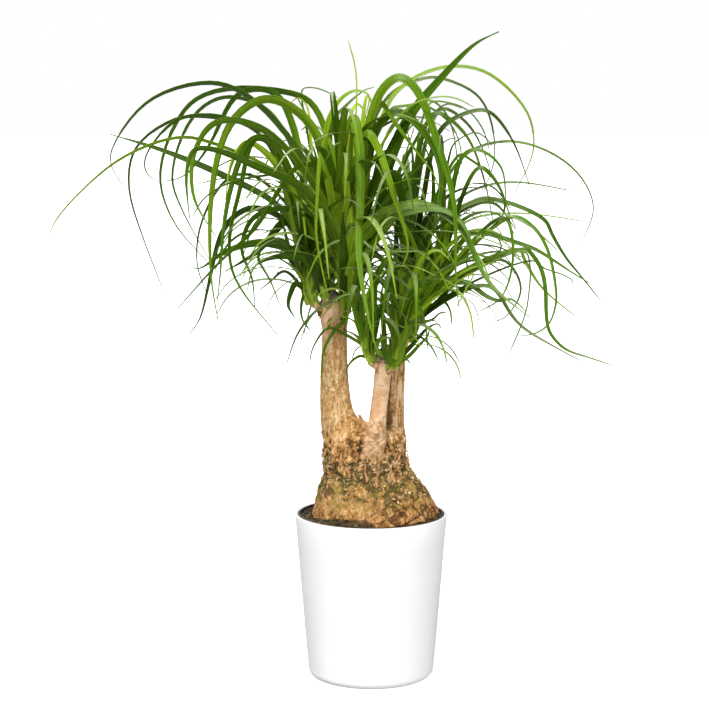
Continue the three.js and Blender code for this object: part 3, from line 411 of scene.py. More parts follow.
class Skin(Wiring):
    """The nodes of one material, around its shader."""

    def __init__(self, tree: bpy.types.NodeTree, roughness: float) -> None:
        """Starts the tree with a shader and an output.

        Args:
            tree: The material's tree.
            roughness: The shader's roughness.
        """
        super().__init__(tree)
        tree.nodes.clear()
        self.shader = self.add("BsdfPrincipled", {"Roughness": roughness})
        self.add("OutputMaterial", {"Surface": self.shader.outputs[0]}).is_active_output = True

    def wear(self, inputs: dict[object, object]) -> None:
        """Sets and joins inputs of the shader."""
        self.feed(self.shader, inputs)

    def place(self) -> Socket:
        """The place on the object, in metres."""
        return self.add("TexCoord").outputs["Object"]

    def marks(self, name: str) -> list[Socket]:
        """The three numbers of a colour attribute."""
        stored = self.add("Attribute", attribute_name=name)
        return self.add("SeparateColor", {0: stored.outputs["Color"]}).outputs[:3]

    def mottle(self, vector: Socket, scale: float, dark: Colour, light: Colour) -> Sequence[Socket]:
        """Adds the mottle group, and returns its Color and its Share of the light colour."""
        return self.add("Group", {"Vector": vector, "Scale": scale, "Dark": dark, "Light": light},
                        node_tree=mottle_group()).outputs

    def grain(self, vector: Socket, scale: float, grit: float = 0.4) -> Socket:
        """Adds the grain group, and returns its height."""
        return self.add("Group", {"Vector": vector, "Scale": scale, "Grit": grit},
                        node_tree=grain_group()).outputs[0]

    def bump(self, strength: float, depth: float, height: Socket) -> None:
        """Tilts the shader's surface by a height."""
        relief = self.add("Bump", {"Strength": strength, "Distance": depth, "Height": height})
        self.wear({"Normal": relief.outputs[0]})


@dataclass(frozen=True)
class Finish:
    """A surface: its name, roughness and how strongly its grain stands out."""

    name: str
    roughness: float = 0.5
    grain: float = 0.0

    def material(self) -> bpy.types.Material:
        """Builds the material the first time that it is asked for.

        Returns:
            The material.
        """
        if self.name in bpy.data.materials:
            return bpy.data.materials[self.name]
        made = bpy.data.materials.new(self.name)
        made.use_nodes = True
        self.dress(Skin(made.node_tree, self.roughness))
        return made

    def dress(self, skin: Skin) -> None:
        """Wires the colour and the grain into the shader."""
        raise NotImplementedError


@dataclass(frozen=True)
class GlazeFinish(Finish):
    """White satin of the cover pot, with the faintest unevenness."""

    shade: Colour = rgb(0.95, 0.95, 0.945)
    light: Colour = rgb(0.975, 0.975, 0.97)

    def dress(self, skin: Skin) -> None:
        """Lays faint clouds in the white, and a fine orange peel.

        Args:
            skin: The material's nodes.
        """
        place = skin.place()
        tone = skin.mottle(place, 9.0, self.shade, self.light)
        rough = skin.rise(tone["Share"], 0.0, 1.0, self.roughness - 0.04, self.roughness + 0.05)
        skin.wear({"Base Color": tone["Color"], "Roughness": rough, "Coat Weight": 0.15,
                   "Coat Roughness": 0.2})
        skin.bump(self.grain, 0.0002, skin.grain(place, 260.0))


@dataclass(frozen=True)
class PatchyFinish(Finish):
    """Soft patches of two colours with fine pores, as on dry fibres or dusty plastic."""

    light: Colour = rgb(0.84, 0.62, 0.30)
    dark: Colour = rgb(0.26, 0.13, 0.045)
    patches: float = 170.0
    pores: float = 700.0
    shine: float = 0.2

    def dress(self, skin: Skin) -> None:
        """Lays the lighter patches over the dark colour.

        Args:
            skin: The material's nodes.
        """
        place = skin.place()
        tone = skin.mottle(place, self.patches, self.dark, self.light)
        skin.wear({"Base Color": tone["Color"], "Specular IOR Level": self.shine})
        skin.bump(self.grain, 0.0003, skin.grain(place, self.pores))


@dataclass(frozen=True)
class SoilFinish(Finish):
    """Dark crumbly peat with pale grains."""

    wet: Colour = rgb(0.018, 0.011, 0.004)
    dry: Colour = rgb(0.12, 0.078, 0.024)
    fleck: Colour = rgb(0.42, 0.30, 0.13)

    def dress(self, skin: Skin) -> None:
        """Lays dark and lighter crumbs, with a few pale grains.

        Args:
            skin: The material's nodes.
        """
        place = skin.place()
        tone = skin.mottle(place, 190.0, self.wet, self.dry)
        grains = skin.add("TexVoronoi", {"Vector": place, "Scale": 330.0})
        chance = skin.add("SeparateColor", {0: grains.outputs["Color"]}).outputs[0]
        near = skin.rise(grains.outputs["Distance"], 0.42, 0.3)
        rare = skin.rise(chance, 0.86, 0.9)
        skin.wear({"Base Color": skin.mix(skin.times(near, rare), tone["Color"], self.fleck)})
        skin.bump(self.grain, 0.0016, skin.grain(place, 320.0, 0.8))


@dataclass(frozen=True)
class BarkFinish(Finish):
    """Corky bark: dark in its hollows and straw on its ridges, with algae, and smooth where young."""

    hollow: Colour = rgb(0.060, 0.027, 0.009)
    tan: Colour = rgb(0.36, 0.165, 0.050)
    straw: Colour = rgb(0.68, 0.385, 0.145)
    pale: Colour = rgb(0.93, 0.67, 0.40)
    olive: Colour = rgb(0.25, 0.21, 0.035)
    mould: Colour = rgb(0.058, 0.054, 0.018)
    skin: Colour = rgb(1.0, 0.70, 0.44)
    skin_shade: Colour = rgb(0.78, 0.45, 0.23)
    cut: Colour = rgb(0.17, 0.14, 0.145)
    tile_scale: float = 560.0
    tile_stretch: float = 0.55

    def dress(self, skin: Skin) -> None:
        """Lays the bark's colours over each other, lowest first.

        Args:
            skin: The material's nodes.
        """
        place = skin.place()
        crack, young, cut = skin.marks("bark")
        relief, mould, shaft = skin.marks("form")
        stretch = skin.add("Mapping", {"Vector": place, "Scale": (1.0, 1.0, self.tile_stretch)})
        tiles = skin.add("TexVoronoi", {"Vector": stretch.outputs[0], "Scale": self.tile_scale})
        chance = skin.add("SeparateColor", {0: tiles.outputs["Color"]}).outputs
        cloud = skin.noise(place, 150.0, 5.0, 0.7)
        uneven = skin.sum(skin.rise(cloud, 0.3, 0.7, -0.16, 0.16), relief)
        uneven = skin.sum(uneven, skin.rise(chance[0], 0.0, 1.0, -0.13, 0.13))
        base = skin.ramp(uneven, (0.12, self.hollow), (0.36, self.tan), (0.62, self.straw),
                         (0.92, self.pale))
        fleck = skin.times(skin.rise(chance[1], 0.58, 0.7), shaft)
        smoother = skin.mottle(place, 70.0, self.skin_shade, self.skin)["Color"]
        for share, colour in ((skin.times(fleck, 0.34), self.olive),
                              (skin.times(self.algae(skin, place), 0.62), self.olive),
                              (mould, self.mould), (young, smoother), (cut, self.cut),
                              (skin.times(crack, 0.8), self.hollow)):
            base = skin.mix(share, base, colour)
        skin.wear({"Base Color": base, "Specular IOR Level": 0.12})
        skin.bump(self.grain, 0.0010, skin.grain(place, 460.0, 0.8))

    @staticmethod
    def algae(skin: Skin, place: Socket) -> Socket:
        """How much algae lies on the foot.

        Args:
            skin: The material's nodes.
            place: The place on the object.

        Returns:
            The share of algae: patches in a band above the soil.
        """
        height = skin.add("SeparateXYZ", {0: place}).outputs[2]
        patch = skin.noise(place, 42.0, 6.0, 0.75)
        band = skin.times(skin.rise(height, 0.199, 0.216), skin.rise(height, 0.262, 0.232))
        return skin.times(band, skin.rise(patch, 0.44, 0.58))


@dataclass(frozen=True)
class LeafFinish(Finish):
    """Strap leaves: pale at the root, satin green with fine lengthwise veins, sometimes dry at the tip."""

    deep: Colour = rgb(0.0045, 0.017, 0.0002)
    green: Colour = rgb(0.079, 0.178, 0.004)
    bright: Colour = rgb(0.38, 0.56, 0.028)
    # Colour of the painted sheen: the sky reflected on level, upward-facing leaf tops.
    painted_sheen_colour: Colour = rgb(0.46, 0.56, 0.27)
    root: Colour = rgb(0.36, 0.50, 0.055)
    dry: Colour = rgb(0.60, 0.46, 0.06)
    vein_lines: float = 26.0
    streaks: float = 5.0

    def dress(self, skin: Skin) -> None:
        """Colours by the leaf's own tone and the place along it, with painted shade near the root and a
        painted sheen where it lies level.

        Args:
            skin: The material's nodes.
        """
        tone, along, sheen = skin.marks("leaf")
        level = skin.add("SeparateXYZ", {0: skin.add("NewGeometry").outputs["Normal"]}).outputs[2]
        base = skin.ramp(tone, (0.0, self.deep), (0.6, self.green), (1.0, self.bright))
        # Paler towards the root by the leaf's tone: young leaf colour, and partly painted light shining
        # through the leaves.
        young = skin.times(skin.rise(along, 0.5, 0.08), tone)
        base = skin.mix(skin.times(young, 0.8), base, self.bright)
        # Painted shade: leaves with a low tone are darkened towards the root, inside the crown.
        painted_root_shade = skin.times(skin.rise(along, 0.55, 0.12), skin.rise(tone, 0.66, 0.2))
        base = skin.mix(skin.times(painted_root_shade, 0.8), base, self.deep)
        # Painted sheen: a pale reflection of the sky where the leaf faces up or lies level near its apex.
        painted_sheen_share = skin.sum(skin.rise(level, 0.6, 1.0, 0.0, 0.40), skin.rise(sheen, 0.3, 1.0, 0.0, 0.22),
                       "MAXIMUM")
        base = skin.mix(painted_sheen_share, base, self.painted_sheen_colour)
        veins = self.lengthwise(skin, self.vein_lines, 22.0, 2.0)
        streaks = self.lengthwise(skin, self.streaks, 2.2, 1.0)
        lines = skin.times(skin.rise(veins, 0.35, 0.65, 0.86, 1.10),
                           skin.rise(streaks, 0.36, 0.64, 0.78, 1.26))
        paint = skin.add("CombineColor", {0: lines, 1: lines, 2: lines}).outputs[0]
        base = skin.mix(1.0, base, paint, "MULTIPLY")
        base = skin.mix(skin.rise(along, 0.16, 0.02), base, self.root)
        worn = skin.times(skin.rise(along, 0.9, 0.985), skin.rise(tone, 0.84, 0.9))
        rough = skin.rise(veins, 0.3, 0.7, self.roughness - 0.06, self.roughness + 0.08)
        skin.wear({"Base Color": skin.mix(worn, base, self.dry), "Roughness": rough,
                   "Specular IOR Level": 0.09, "Subsurface Weight": 0.22,
                   "Subsurface Radius": (0.7, 1.0, 0.25), "Subsurface Scale": 0.0016})
        skin.bump(self.grain, 0.0003, veins)

    @staticmethod
    def lengthwise(skin: Skin, across: float, along: float, detail: float) -> Socket:
        """Noise drawn out along each leaf.

        Args:
            skin: The material's nodes.
            across: How fine it is over a leaf's width.
            along: How fine it is over a leaf's length.
            detail: The noise's detail.

        Returns:
            The noise.
        """
        leaf_map = skin.add("UVMap", uv_map="leaf_map").outputs[0]
        drawn = skin.add("Mapping", {"Vector": leaf_map, "Scale": (across, along, 1.0)})
        return skin.noise(drawn.outputs[0], 1.0, detail)


@dataclass(frozen=True)
class FloorFinish(Finish):
    """Plain pale floor, lit up for the camera so that shadows on it stay faint."""

    pale: Colour = rgb(0.93, 0.93, 0.93)
    dim: Colour = rgb(0.42, 0.42, 0.42)
    glow: float = 0.68

    def dress(self, skin: Skin) -> None:
        """Makes it pale to the camera and dimmer to everything that it lights.

        Args:
            skin: The material's nodes.
        """
        seen = skin.add("LightPath").outputs["Is Camera Ray"]
        skin.wear({"Base Color": skin.mix(seen, self.dim, self.pale), "Emission Color": self.pale,
                   "Emission Strength": skin.times(seen, self.glow)})


GLAZE = GlazeFinish("white_satin", roughness=0.34, grain=0.08)
NURSERY = PatchyFinish("black_plastic", roughness=0.55, grain=0.2, light=rgb(0.045, 0.035, 0.026),
                       dark=rgb(0.012, 0.012, 0.012), patches=70.0, pores=400.0, shine=0.5)
PEAT = SoilFinish("peat", roughness=0.95, grain=0.9)
BARK = BarkFinish("corky_bark", roughness=0.82, grain=0.75)
FIBRE = PatchyFinish("dry_fibre", roughness=0.7, grain=0.3)
CURL = PatchyFinish("bark_curl", roughness=0.7, grain=0.4, light=rgb(0.64, 0.34, 0.15),
                    dark=rgb(0.30, 0.13, 0.05))
LEAF = LeafFinish("strap_leaf", roughness=0.38, grain=0.35)
PEEL = PatchyFinish("young_peel", roughness=0.75, grain=0.5, light=rgb(0.96, 0.62, 0.37),
                    dark=rgb(0.62, 0.33, 0.15))
FLOOR = FloorFinish("floor", roughness=0.6)


def spin_profile(name: str, profile: Iterable[tuple[float, float]], steps: int) -> Piece:
    """Draws a profile point by point and spins it about the upright axis.

    Args:
        name: The new object's name.
        profile: Radius and height of each point, starting and ending on the axis.
        steps: How many steps make the full turn.

    Returns:
        The closed object, faces out.
    """
    points = [Vector((radius, 0.0, height)) for radius, height in profile]
    piece = added(bpy.ops.mesh.primitive_plane_add, size=0.01)
    piece.name = piece.data.name = name
    with editing(piece):
        bpy.ops.mesh.merge(type="CENTER")
        bpy.ops.transform.translate(value=points[0])
        for here, after in zip(points, points[1:]):
            bpy.ops.mesh.extrude_region_move(TRANSFORM_OT_translate={"value": after - here})
        bpy.ops.mesh.select_all(action="SELECT")
        bpy.ops.mesh.spin(steps=steps, angle=math.tau, center=(0, 0, 0), axis=(0, 0, 1))
        bpy.ops.mesh.select_all(action="SELECT")
        bpy.ops.mesh.remove_doubles(threshold=0.00001)
        bpy.ops.mesh.normals_make_consistent(inside=False)
    return piece


def quarter(centre: tuple[float, float], radius: float, start: float, end: float,
            count: int = 6) -> list[tuple[float, float]]:
    """Points of a round stretch of a profile.

    Args:
        centre: The centre's radius from the axis and its height.
        radius: The radius of the round.
        start: The first angle in degrees, from outwards towards up.
        end: The last angle.
        count: How many steps between them.

    Returns:
        The points.
    """
    turns = [math.radians(start + (end - start) * k / count) for k in range(count + 1)]
    return [(centre[0] + radius * math.cos(t), centre[1] + radius * math.sin(t)) for t in turns]


@dataclass
class CoverPot:
    """The tapered white cover pot."""

    rim_radius: float = 0.090
    foot_radius: float = 0.0746
    taper_radius: float = 0.074
    middle_radius: float = 0.03
    height: float = 0.195
    wall: float = 0.0032
    floor: float = 0.005
    foot_round: float = 0.009
    lip: float = 0.0008
    rings: int = 6
    steps: int = 160

    def radius_at(self, height: float) -> float:
        """The outside radius at a height."""
        return self.taper_radius + (self.rim_radius - self.taper_radius) * height / self.height

    def build(self) -> None:
        """Spins the wall, its rounded foot and its fine lip."""
        centre = (self.foot_radius - self.foot_round, self.foot_round)
        profile = [(0.0, 0.0), (self.middle_radius, 0.0)] + quarter(centre, self.foot_round, -90, 0, 8)
        for k in range(1, self.rings):
            high = self.foot_round + (self.height - self.foot_round) * k / self.rings
            profile.append((self.radius_at(high), high))
        outer, inner = self.rim_radius - self.lip, self.rim_radius - self.wall + self.lip
        profile += quarter((outer, self.height - self.lip), self.lip, 0, 90, 4)
        profile += quarter((inner, self.height - self.lip), self.lip, 90, 180, 4)
        low = self.floor + self.foot_round
        for k in range(self.rings - 1, 0, -1):
            high = low + (self.height - low) * k / self.rings
            profile.append((self.radius_at(high) - self.wall, high))
        bend = (self.radius_at(low) - self.wall - self.foot_round, low)
        profile += quarter(bend, self.foot_round, 0, -90, 5)
        profile += [(self.middle_radius, self.floor), (0.0, self.floor)]
        piece = spin_profile("cover_pot", profile, self.steps)
        shade(piece, 45)
        settle(piece, "cover_pot", GLAZE.material(), "pot")


@dataclass
class NurseryPot:
    """The thin black pot that the plant was raised in, with a bead round its rim and drain holes."""

    rim_radius: float = 0.0863
    top: float = 0.1949
    bead: float = 0.004
    bead_out: float = 0.0009
    bead_round: float = 0.0006
    wall: float = 0.0013
    foot_radius: float = 0.0644
    middle_radius: float = 0.02
    foot: float = 0.00535
    corner: float = 0.003
    drain_radius: float = 0.006
    drain_circle: float = 0.048
    drains: int = 4
    steps: int = 128

    def build(self) -> None:
        """Spins the pot and cuts its drain holes."""
        bead_foot = self.top - self.bead
        wall_top = self.rim_radius - self.bead_out
        edge, tight, corner = self.rim_radius - self.bead_round, self.bead_round, self.corner
        profile = [(0.0, self.foot), (self.middle_radius, self.foot)]
        profile += quarter((self.foot_radius - corner, self.foot + corner), corner, -90, 0, 4)
        profile += [(wall_top, bead_foot)]
        profile += quarter((edge, bead_foot + tight), tight, -90, 0, 2)
        profile += quarter((edge, self.top - tight), tight, 0, 90, 3)
        profile += [(wall_top - self.wall, self.top), (wall_top - self.wall, bead_foot)]
        inner, floor = self.foot_radius - self.wall, self.foot + self.wall
        profile += quarter((inner - corner, floor + corner), corner, 0, -90, 4)
        profile += [(self.middle_radius, floor), (0.0, floor)]
        piece = spin_profile("nursery_pot", profile, self.steps)
        for k in range(self.drains):
            self.cut_drain(piece, math.tau * (k + 0.5) / self.drains)
        shade(piece, 40)
        settle(piece, "nursery_pot", NURSERY.material(), "grow_pot")

    def cut_drain(self, piece: Piece, turn: float) -> None:
        """Cuts one drain hole through the floor.

        Args:
            piece: The pot.
            turn: Where the hole lies, as an angle.
        """
        place = (self.drain_circle * math.cos(turn), self.drain_circle * math.sin(turn),
                 self.foot + self.wall / 2)
        drill = added(bpy.ops.mesh.primitive_cylinder_add, vertices=24, radius=self.drain_radius,
                      depth=self.wall * 4, location=place)
        apply_modifier(piece, "BOOLEAN", operation="DIFFERENCE", object=drill, solver="EXACT")
        bpy.data.objects.remove(drill)


def scatter(name: str, pattern: Piece, places: Sequence[tuple[Vector, Vector, float]],
            draws: Draws) -> Piece:
    """Copies a pattern to many places, each copy turned by chance, and makes them one piece.

    Args:
        name: The new piece's name.
        pattern: The object to copy. It is removed afterwards.
        places: For each copy its place, the way its up side faces, and its size.
        draws: Where the chance turns come from.

    Returns:
        The joined piece.
    """
    shape = points_of(pattern)
    faces = [tuple(face.vertices) for face in pattern.data.polygons]
    points, all_faces = [], []
    for place, up, size in places:
        turn = Vector((0, 0, 1)).rotation_difference(up).to_matrix()
        spin = draws.between(0, math.tau)
        flat = np.array([[math.cos(spin), -math.sin(spin), 0], [math.sin(spin), math.cos(spin), 0],
                         [0, 0, 1]])
        all_faces += [tuple(v + len(points) * len(shape) for v in face) for face in faces]
        points.append(shape @ flat.T @ np.array(turn).T * size + np.array(place))
    bpy.data.objects.remove(pattern)
    return gathered(name, points, all_faces)


def trunk_reach(bearing: float) -> float:
    """How far the foot reaches from the pot's axis where it meets the soil.

    Args:
        bearing: The bearing.

    Returns:
        The reach in metres.
    """
    half_x, half_y, centre = 0.076, 0.068, (0.0045, 0.004)
    reach = 1 / math.hypot(math.cos(bearing) / half_x, math.sin(bearing) / half_y)
    return reach + centre[0] * math.cos(bearing) + centre[1] * math.sin(bearing)


@dataclass
class Soil:
    """The peat, its uneven top and the crumbs lying on it."""

    level: float = 0.1895
    outer: float = 0.0832
    lump: float = 0.0011
    fill: float = 0.0022
    crumbs: int = 620
    crumb_size: float = 0.0015
    heap_bearing: float = math.radians(-119)
    heap_height: float = 0.0075
    heap_reach: float = 0.007
    cuts: int = 5
    facing_up: float = 0.6
    top_depth: float = 0.005
    lumpy_depth: float = 0.0028
    lumpy_gap: float = 0.0006
    crumb_inset: float = 0.002
    crumb_gap: float = 0.0008
    pile_height: float = 0.0016
    pile_reach: float = 0.004

    def heap(self, bearing: float, beyond: float) -> float:
        """How high soil is heaped against the foot, for a bearing and a distance beyond the foot."""
        turned = max(0.0, math.cos(bearing - self.heap_bearing)) ** 11
        return self.heap_height * turned * max(0.0, 1 - max(0.0, beyond) / self.heap_reach)

    def filled(self, bearing: float) -> float:
        """How much higher the soil stands away from the front, for a bearing."""
        return self.fill * min(1.0, max(0.0, (0.9 - math.cos(bearing + math.pi / 2)) / 0.24))

    def build(self) -> None:
        """Builds the soil, with its uneven top, and its crumbs."""
        piece = copy_of_node("soil", "peat_soil")
        with editing(piece):
            bpy.ops.mesh.select_mode(type="FACE")
            bpy.ops.mesh.select_all(action="DESELECT")
        for face in piece.data.polygons:
            high = face.center.z > self.level - self.top_depth
            face.select = high and face.normal.z > self.facing_up
        bpy.ops.object.mode_set(mode="EDIT")
        bpy.ops.mesh.subdivide(number_cuts=self.cuts)
        bpy.ops.object.mode_set(mode="OBJECT")
        points = points_of(piece)
        reach = np.hypot(points[:, 0], points[:, 1])
        on_top = (points[:, 2] > self.level - self.lumpy_depth) & (reach < self.outer - self.lumpy_gap)
        for i in np.nonzero(on_top)[0]:
            place = Vector(points[i])
            points[i, 2] += self.lump * (noise.noise(place * 210) + 0.6 * noise.noise(place * 520))
            bearing = math.atan2(place.y, place.x)
            points[i, 2] += self.filled(bearing) + self.heap(bearing, reach[i] - trunk_reach(bearing))
        move_points(piece, points)
        shade(piece, 60)
        settle(piece, "soil", PEAT.material(), "soil")
        draws = Draws(SEED + 1)
        places = [self.crumb_place(draws) for _ in range(self.crumbs)]
        crumbs = scatter("soil_crumbs", self.crumb(), places, draws)
        settle(crumbs, "soil", PEAT.material())

    def crumb(self) -> Piece:
        """Makes one uneven crumb, the pattern for all.

        Returns:
            The crumb.
        """
        piece = added(bpy.ops.mesh.primitive_ico_sphere_add, subdivisions=1, radius=self.crumb_size)
        with editing(piece):
            bpy.ops.transform.vertex_random(offset=self.crumb_size * 0.45, seed=7)
            bpy.ops.transform.resize(value=(1.25, 0.95, 0.7))
        return piece

    def crumb_place(self, draws: Draws) -> tuple[Vector, Vector, float]:
        """Lays a crumb somewhere between the foot and the pot.

        Args:
            draws: Where the chance comes from.

        Returns:
            Its place, the way its up side faces, and its size.
        """
        bearing = draws.between(0, math.tau)
        inner = trunk_reach(bearing) - self.crumb_inset
        radius = inner + (self.outer - self.crumb_gap - inner) * draws.one() ** 0.8
        size = draws.between(0.55, 1.9)
        pile = self.pile_height * max(0.0, 1 - (radius - inner) / self.pile_reach)
        pile += self.heap(bearing, radius - inner - self.crumb_inset)
        high = self.level + self.filled(bearing) + pile
        up = Vector((draws.between(-0.6, 0.6), draws.between(-0.6, 0.6), 1)).normalized()
        return Vector((radius * math.cos(bearing), radius * math.sin(bearing), high)), up, size


# Limbs of the trunk as in the solids: centre x, y, z and radius, in millimetres.
LEFT_TRUNK: Rows = (
    (-34, 2, 262, 20), (-37.5, 2, 284, 20.5), (-38.5, 1, 307, 21), (-40.5, 0, 318, 19.4),
    (-42, 0, 332, 18), (-43.2, 0, 361, 16.3), (-43, 0, 393, 15), (-43, 0, 415, 14.8),
    (-44.5, 0, 432, 16.6), (-46, 0, 443, 16.2), (-47, 0, 450, 13.5),
)
FRONT_BRANCH: Rows = (
    (0, -19, 258, 15.5), (3, -23, 280, 13.4), (6.4, -24, 302, 10.9), (9, -23.5, 326, 10),
    (12, -22.5, 350, 9.8), (13.6, -22, 366, 10.3), (14, -22, 378, 9.4), (14, -22, 383, 7.6),
)
BACK_TRUNK: Rows = (
    (25, 7, 262, 16), (27.2, 11, 283, 14.6), (27.2, 13, 302, 12.4), (27.6, 14, 330, 12),
    (28.4, 14, 361, 12.4), (28.2, 14, 384, 12.8), (28, 14, 394, 10.5),
)


def smooth(value: Array, low: float, high: float) -> Array:
    """Rises smoothly from 0 at low to 1 at high."""
    share = np.clip((value - low) / (high - low), 0, 1)
    return share * share * (3 - 2 * share)


def read_off(at: object, places: Array, rows: Array) -> Array:
    """Rows of values at new places, read off between the places where they are known."""
    return np.stack([np.interp(at, places, column) for column in rows.T], axis=-1)


def distance_to(points: Array, limb: Rows) -> Array:
    """How far points lie from a limb's axis, level, over its own radius there.

    Args:
        points: The points, in metres.
        limb: The limb's rows, in millimetres.

    Returns:
        One distance for each point: 1 on the limb's surface.
    """
    rows = np.array(limb) * MM
    x, y, radius = read_off(points[:, 2], rows[:, 2], rows[:, [0, 1, 3]]).T
    return np.hypot(points[:, 0] - x, points[:, 1] - y) / radius


@dataclass(frozen=True)
class Strip:
    """A strip of bark that peels off the front, in millimetres.

    It holds how far across its middle is, its foot and top, its width, how far its end curls out, leans
    sideways and stands up past the bark.
    """

    across: float
    low: float
    high: float
    width: float
    curl: float
    lean: float = 0.0
    rise: float = 0.0

    def lay(self, points: Array, normals: Array) -> Piece:
        """Lays the strip over the bark.

        Args:
            points: The vertices of the bark's front.
            normals: Their normals.

        Returns:
            The strip.
        """
        piece = added(bpy.ops.mesh.primitive_grid_add, x_subdivisions=3, y_subdivisions=12, size=1)
        shape = points_of(piece)
        share = shape[:, 1] + 0.5
        across = self.across + 1.2 * np.sin(share * 5 + self.low)
        wide = self.width * shape[:, 0] * (1 - 0.6 * share ** 3)
        level = self.low + (self.high - self.low) * share
        for k, (x, w, z, s) in enumerate(zip(across, wide, level, share)):
            near = np.argmin(np.hypot(points[:, 0] - x * MM, points[:, 2] - z * MM))
            off = 0.6 + self.curl * s ** 3 + 0.5 * (w / self.width) ** 2
            shape[k] = points[near] + normals[near] * off * MM
            shape[k, 0] += (w + self.lean * s ** 2) * MM
            shape[k, 2] += self.rise * s ** 2 * MM
        for _ in range(3):
            for row in np.unique(np.round(share, 4)):
                alike = np.isclose(share, row, atol=1e-3)
                shape[alike, 1] = 0.5 * shape[alike, 1] + 0.5 * shape[alike, 1].mean()
        move_points(piece, shape)
        apply_modifier(piece, "SOLIDIFY", thickness=0.0005, offset=0)
        return piece


STRIPS: tuple[Strip, ...] = (
    Strip(-5, 293, 303, 8.5, 4.0, lean=-7.0, rise=12.0), Strip(-59, 430, 442, 7.0, 3.4, lean=-2.0),
    Strip(-36, 422, 433, 6.5, 3.2, lean=1.5), Strip(7, 366, 377, 5.0, 2.4, lean=-1.0),
    Strip(20, 362, 373, 5.0, 2.6, lean=1.0), Strip(-48, 418, 430, 5.0, 1.8),
    Strip(-6, 240, 260, 2.6, 1.2), Strip(7, 236, 262, 3.4, 1.6), Strip(21, 243, 257, 2.2, 1.4),
    Strip(-27, 246, 259, 2.0, 1.5), Strip(33, 262, 279, 2.4, 1.8), Strip(-17, 262, 276, 2.0, 1.6),
    Strip(13, 226, 238, 2.2, 1.0),
)


class Zone(NamedTuple):
    """How much of each kind of bark, and of painted shade, there is from 0 to 1: as arrays for the trunk,
    or at one vertex.
    """

    foot: Array
    collar: Array
    shaft: Array
    plates: Array
    mouldy: Array
    young: Array
    back: Array
    worn: Array
    crotch: Array
    heap: Array
    cleft: Array
    on_branch: Array
    cut: Array
    stub: Array
    spur: Array
    spur_edge: Array

    @classmethod
    def over(cls, points: Array, normals: Array, spur_half: float) -> "Zone":
        """Works out where each kind of bark lies, and where shade is painted on it.

        Args:
            points: The trunk's vertices.
            normals: Their normals.
            spur_half: Half the width of the branch's spur on the foot.

        Returns:
            The arrays, with one share for each vertex.
        """
        across, deep, high = points.T
        branch, left = distance_to(points, FRONT_BRANCH), distance_to(points, LEFT_TRUNK)
        rough = np.array([noise.noise(Vector(p) * 130) for p in points]) * 0.008
        edge = high + rough
        on_branch = smooth(edge, 0.302, 0.314) * (branch < 1.3)
        on_left_top = smooth(high + 3 * rough, 0.366, 0.415) * (across < -0.015)
        weathered = smooth(across + 0.5 * rough, -0.0470, -0.0425) * smooth(high, 0.434, 0.420)
        branch_top = (high > 0.3775) & (branch < 1.5)
        left_top = (high > 0.4465) & (left < 1.5)
        ragged = 0.2 * np.sign(rough) * np.sqrt(np.abs(rough) / 0.008)
        foot, shaft = smooth(edge, 0.240, 0.222), smooth(edge, 0.276, 0.300)
        # Painted shade in the crevice between the front branch and the back trunk.
        cleft = smooth(across + 0.3 * rough, 0.0262, 0.0220) * smooth(across, 0.008, 0.014)
        cleft *= smooth(high, 0.284, 0.297) * smooth(high, 0.380, 0.350) * smooth(deep, -0.018, -0.008)
        axis = np.array(FRONT_BRANCH) * MM
        aside = (across - np.interp(high, axis[:, 2], axis[:, 0])) / spur_half
        faces_front = smooth(-normals[:, 1], 0.2, 0.7) * smooth(high, 0.262, 0.280)
        faces_front *= smooth(high, 0.326, 0.300)
        return cls(
            foot=foot, collar=(1 - foot) * (1 - shaft), shaft=shaft,
            plates=smooth(across, -0.022, 0.030) * smooth(edge, 0.232, 0.218),
            mouldy=smooth(edge, 0.212, 0.226) * smooth(edge, 0.284, 0.264),
            young=np.clip(on_branch + 0.85 * on_left_top * (1 - 0.8 * weathered), 0, 1),
            back=smooth(across, 0.006, 0.016) * (branch > 1.25), worn=weathered * on_left_top,
            # Painted shade below the saddle between the left trunk and the front branch.
            crotch=np.exp(-((across + 0.017) / 0.011) ** 2) * (deep < 0) * smooth(high, 0.268, 0.284),
            heap=smooth(np.abs(across + 0.025), 0.036, 0.012) * (deep < 0),
            cleft=cleft, on_branch=on_branch,
            cut=smooth(branch + ragged, 1.10, 0.98) * branch_top
            + smooth(left + ragged, 1.10, 0.98) * left_top,
            stub=smooth(branch, 1.0, 0.72) * branch_top + 0.7 * smooth(left, 1.0, 0.72) * left_top,
            spur=np.clip(1 - aside ** 2, 0, 1) * faces_front,
            # Along the spur's edges: a shallow groove, and a painted shadow line beside it.
            spur_edge=np.exp(-((np.abs(aside) - 1.02) / 0.14) ** 2) * faces_front)


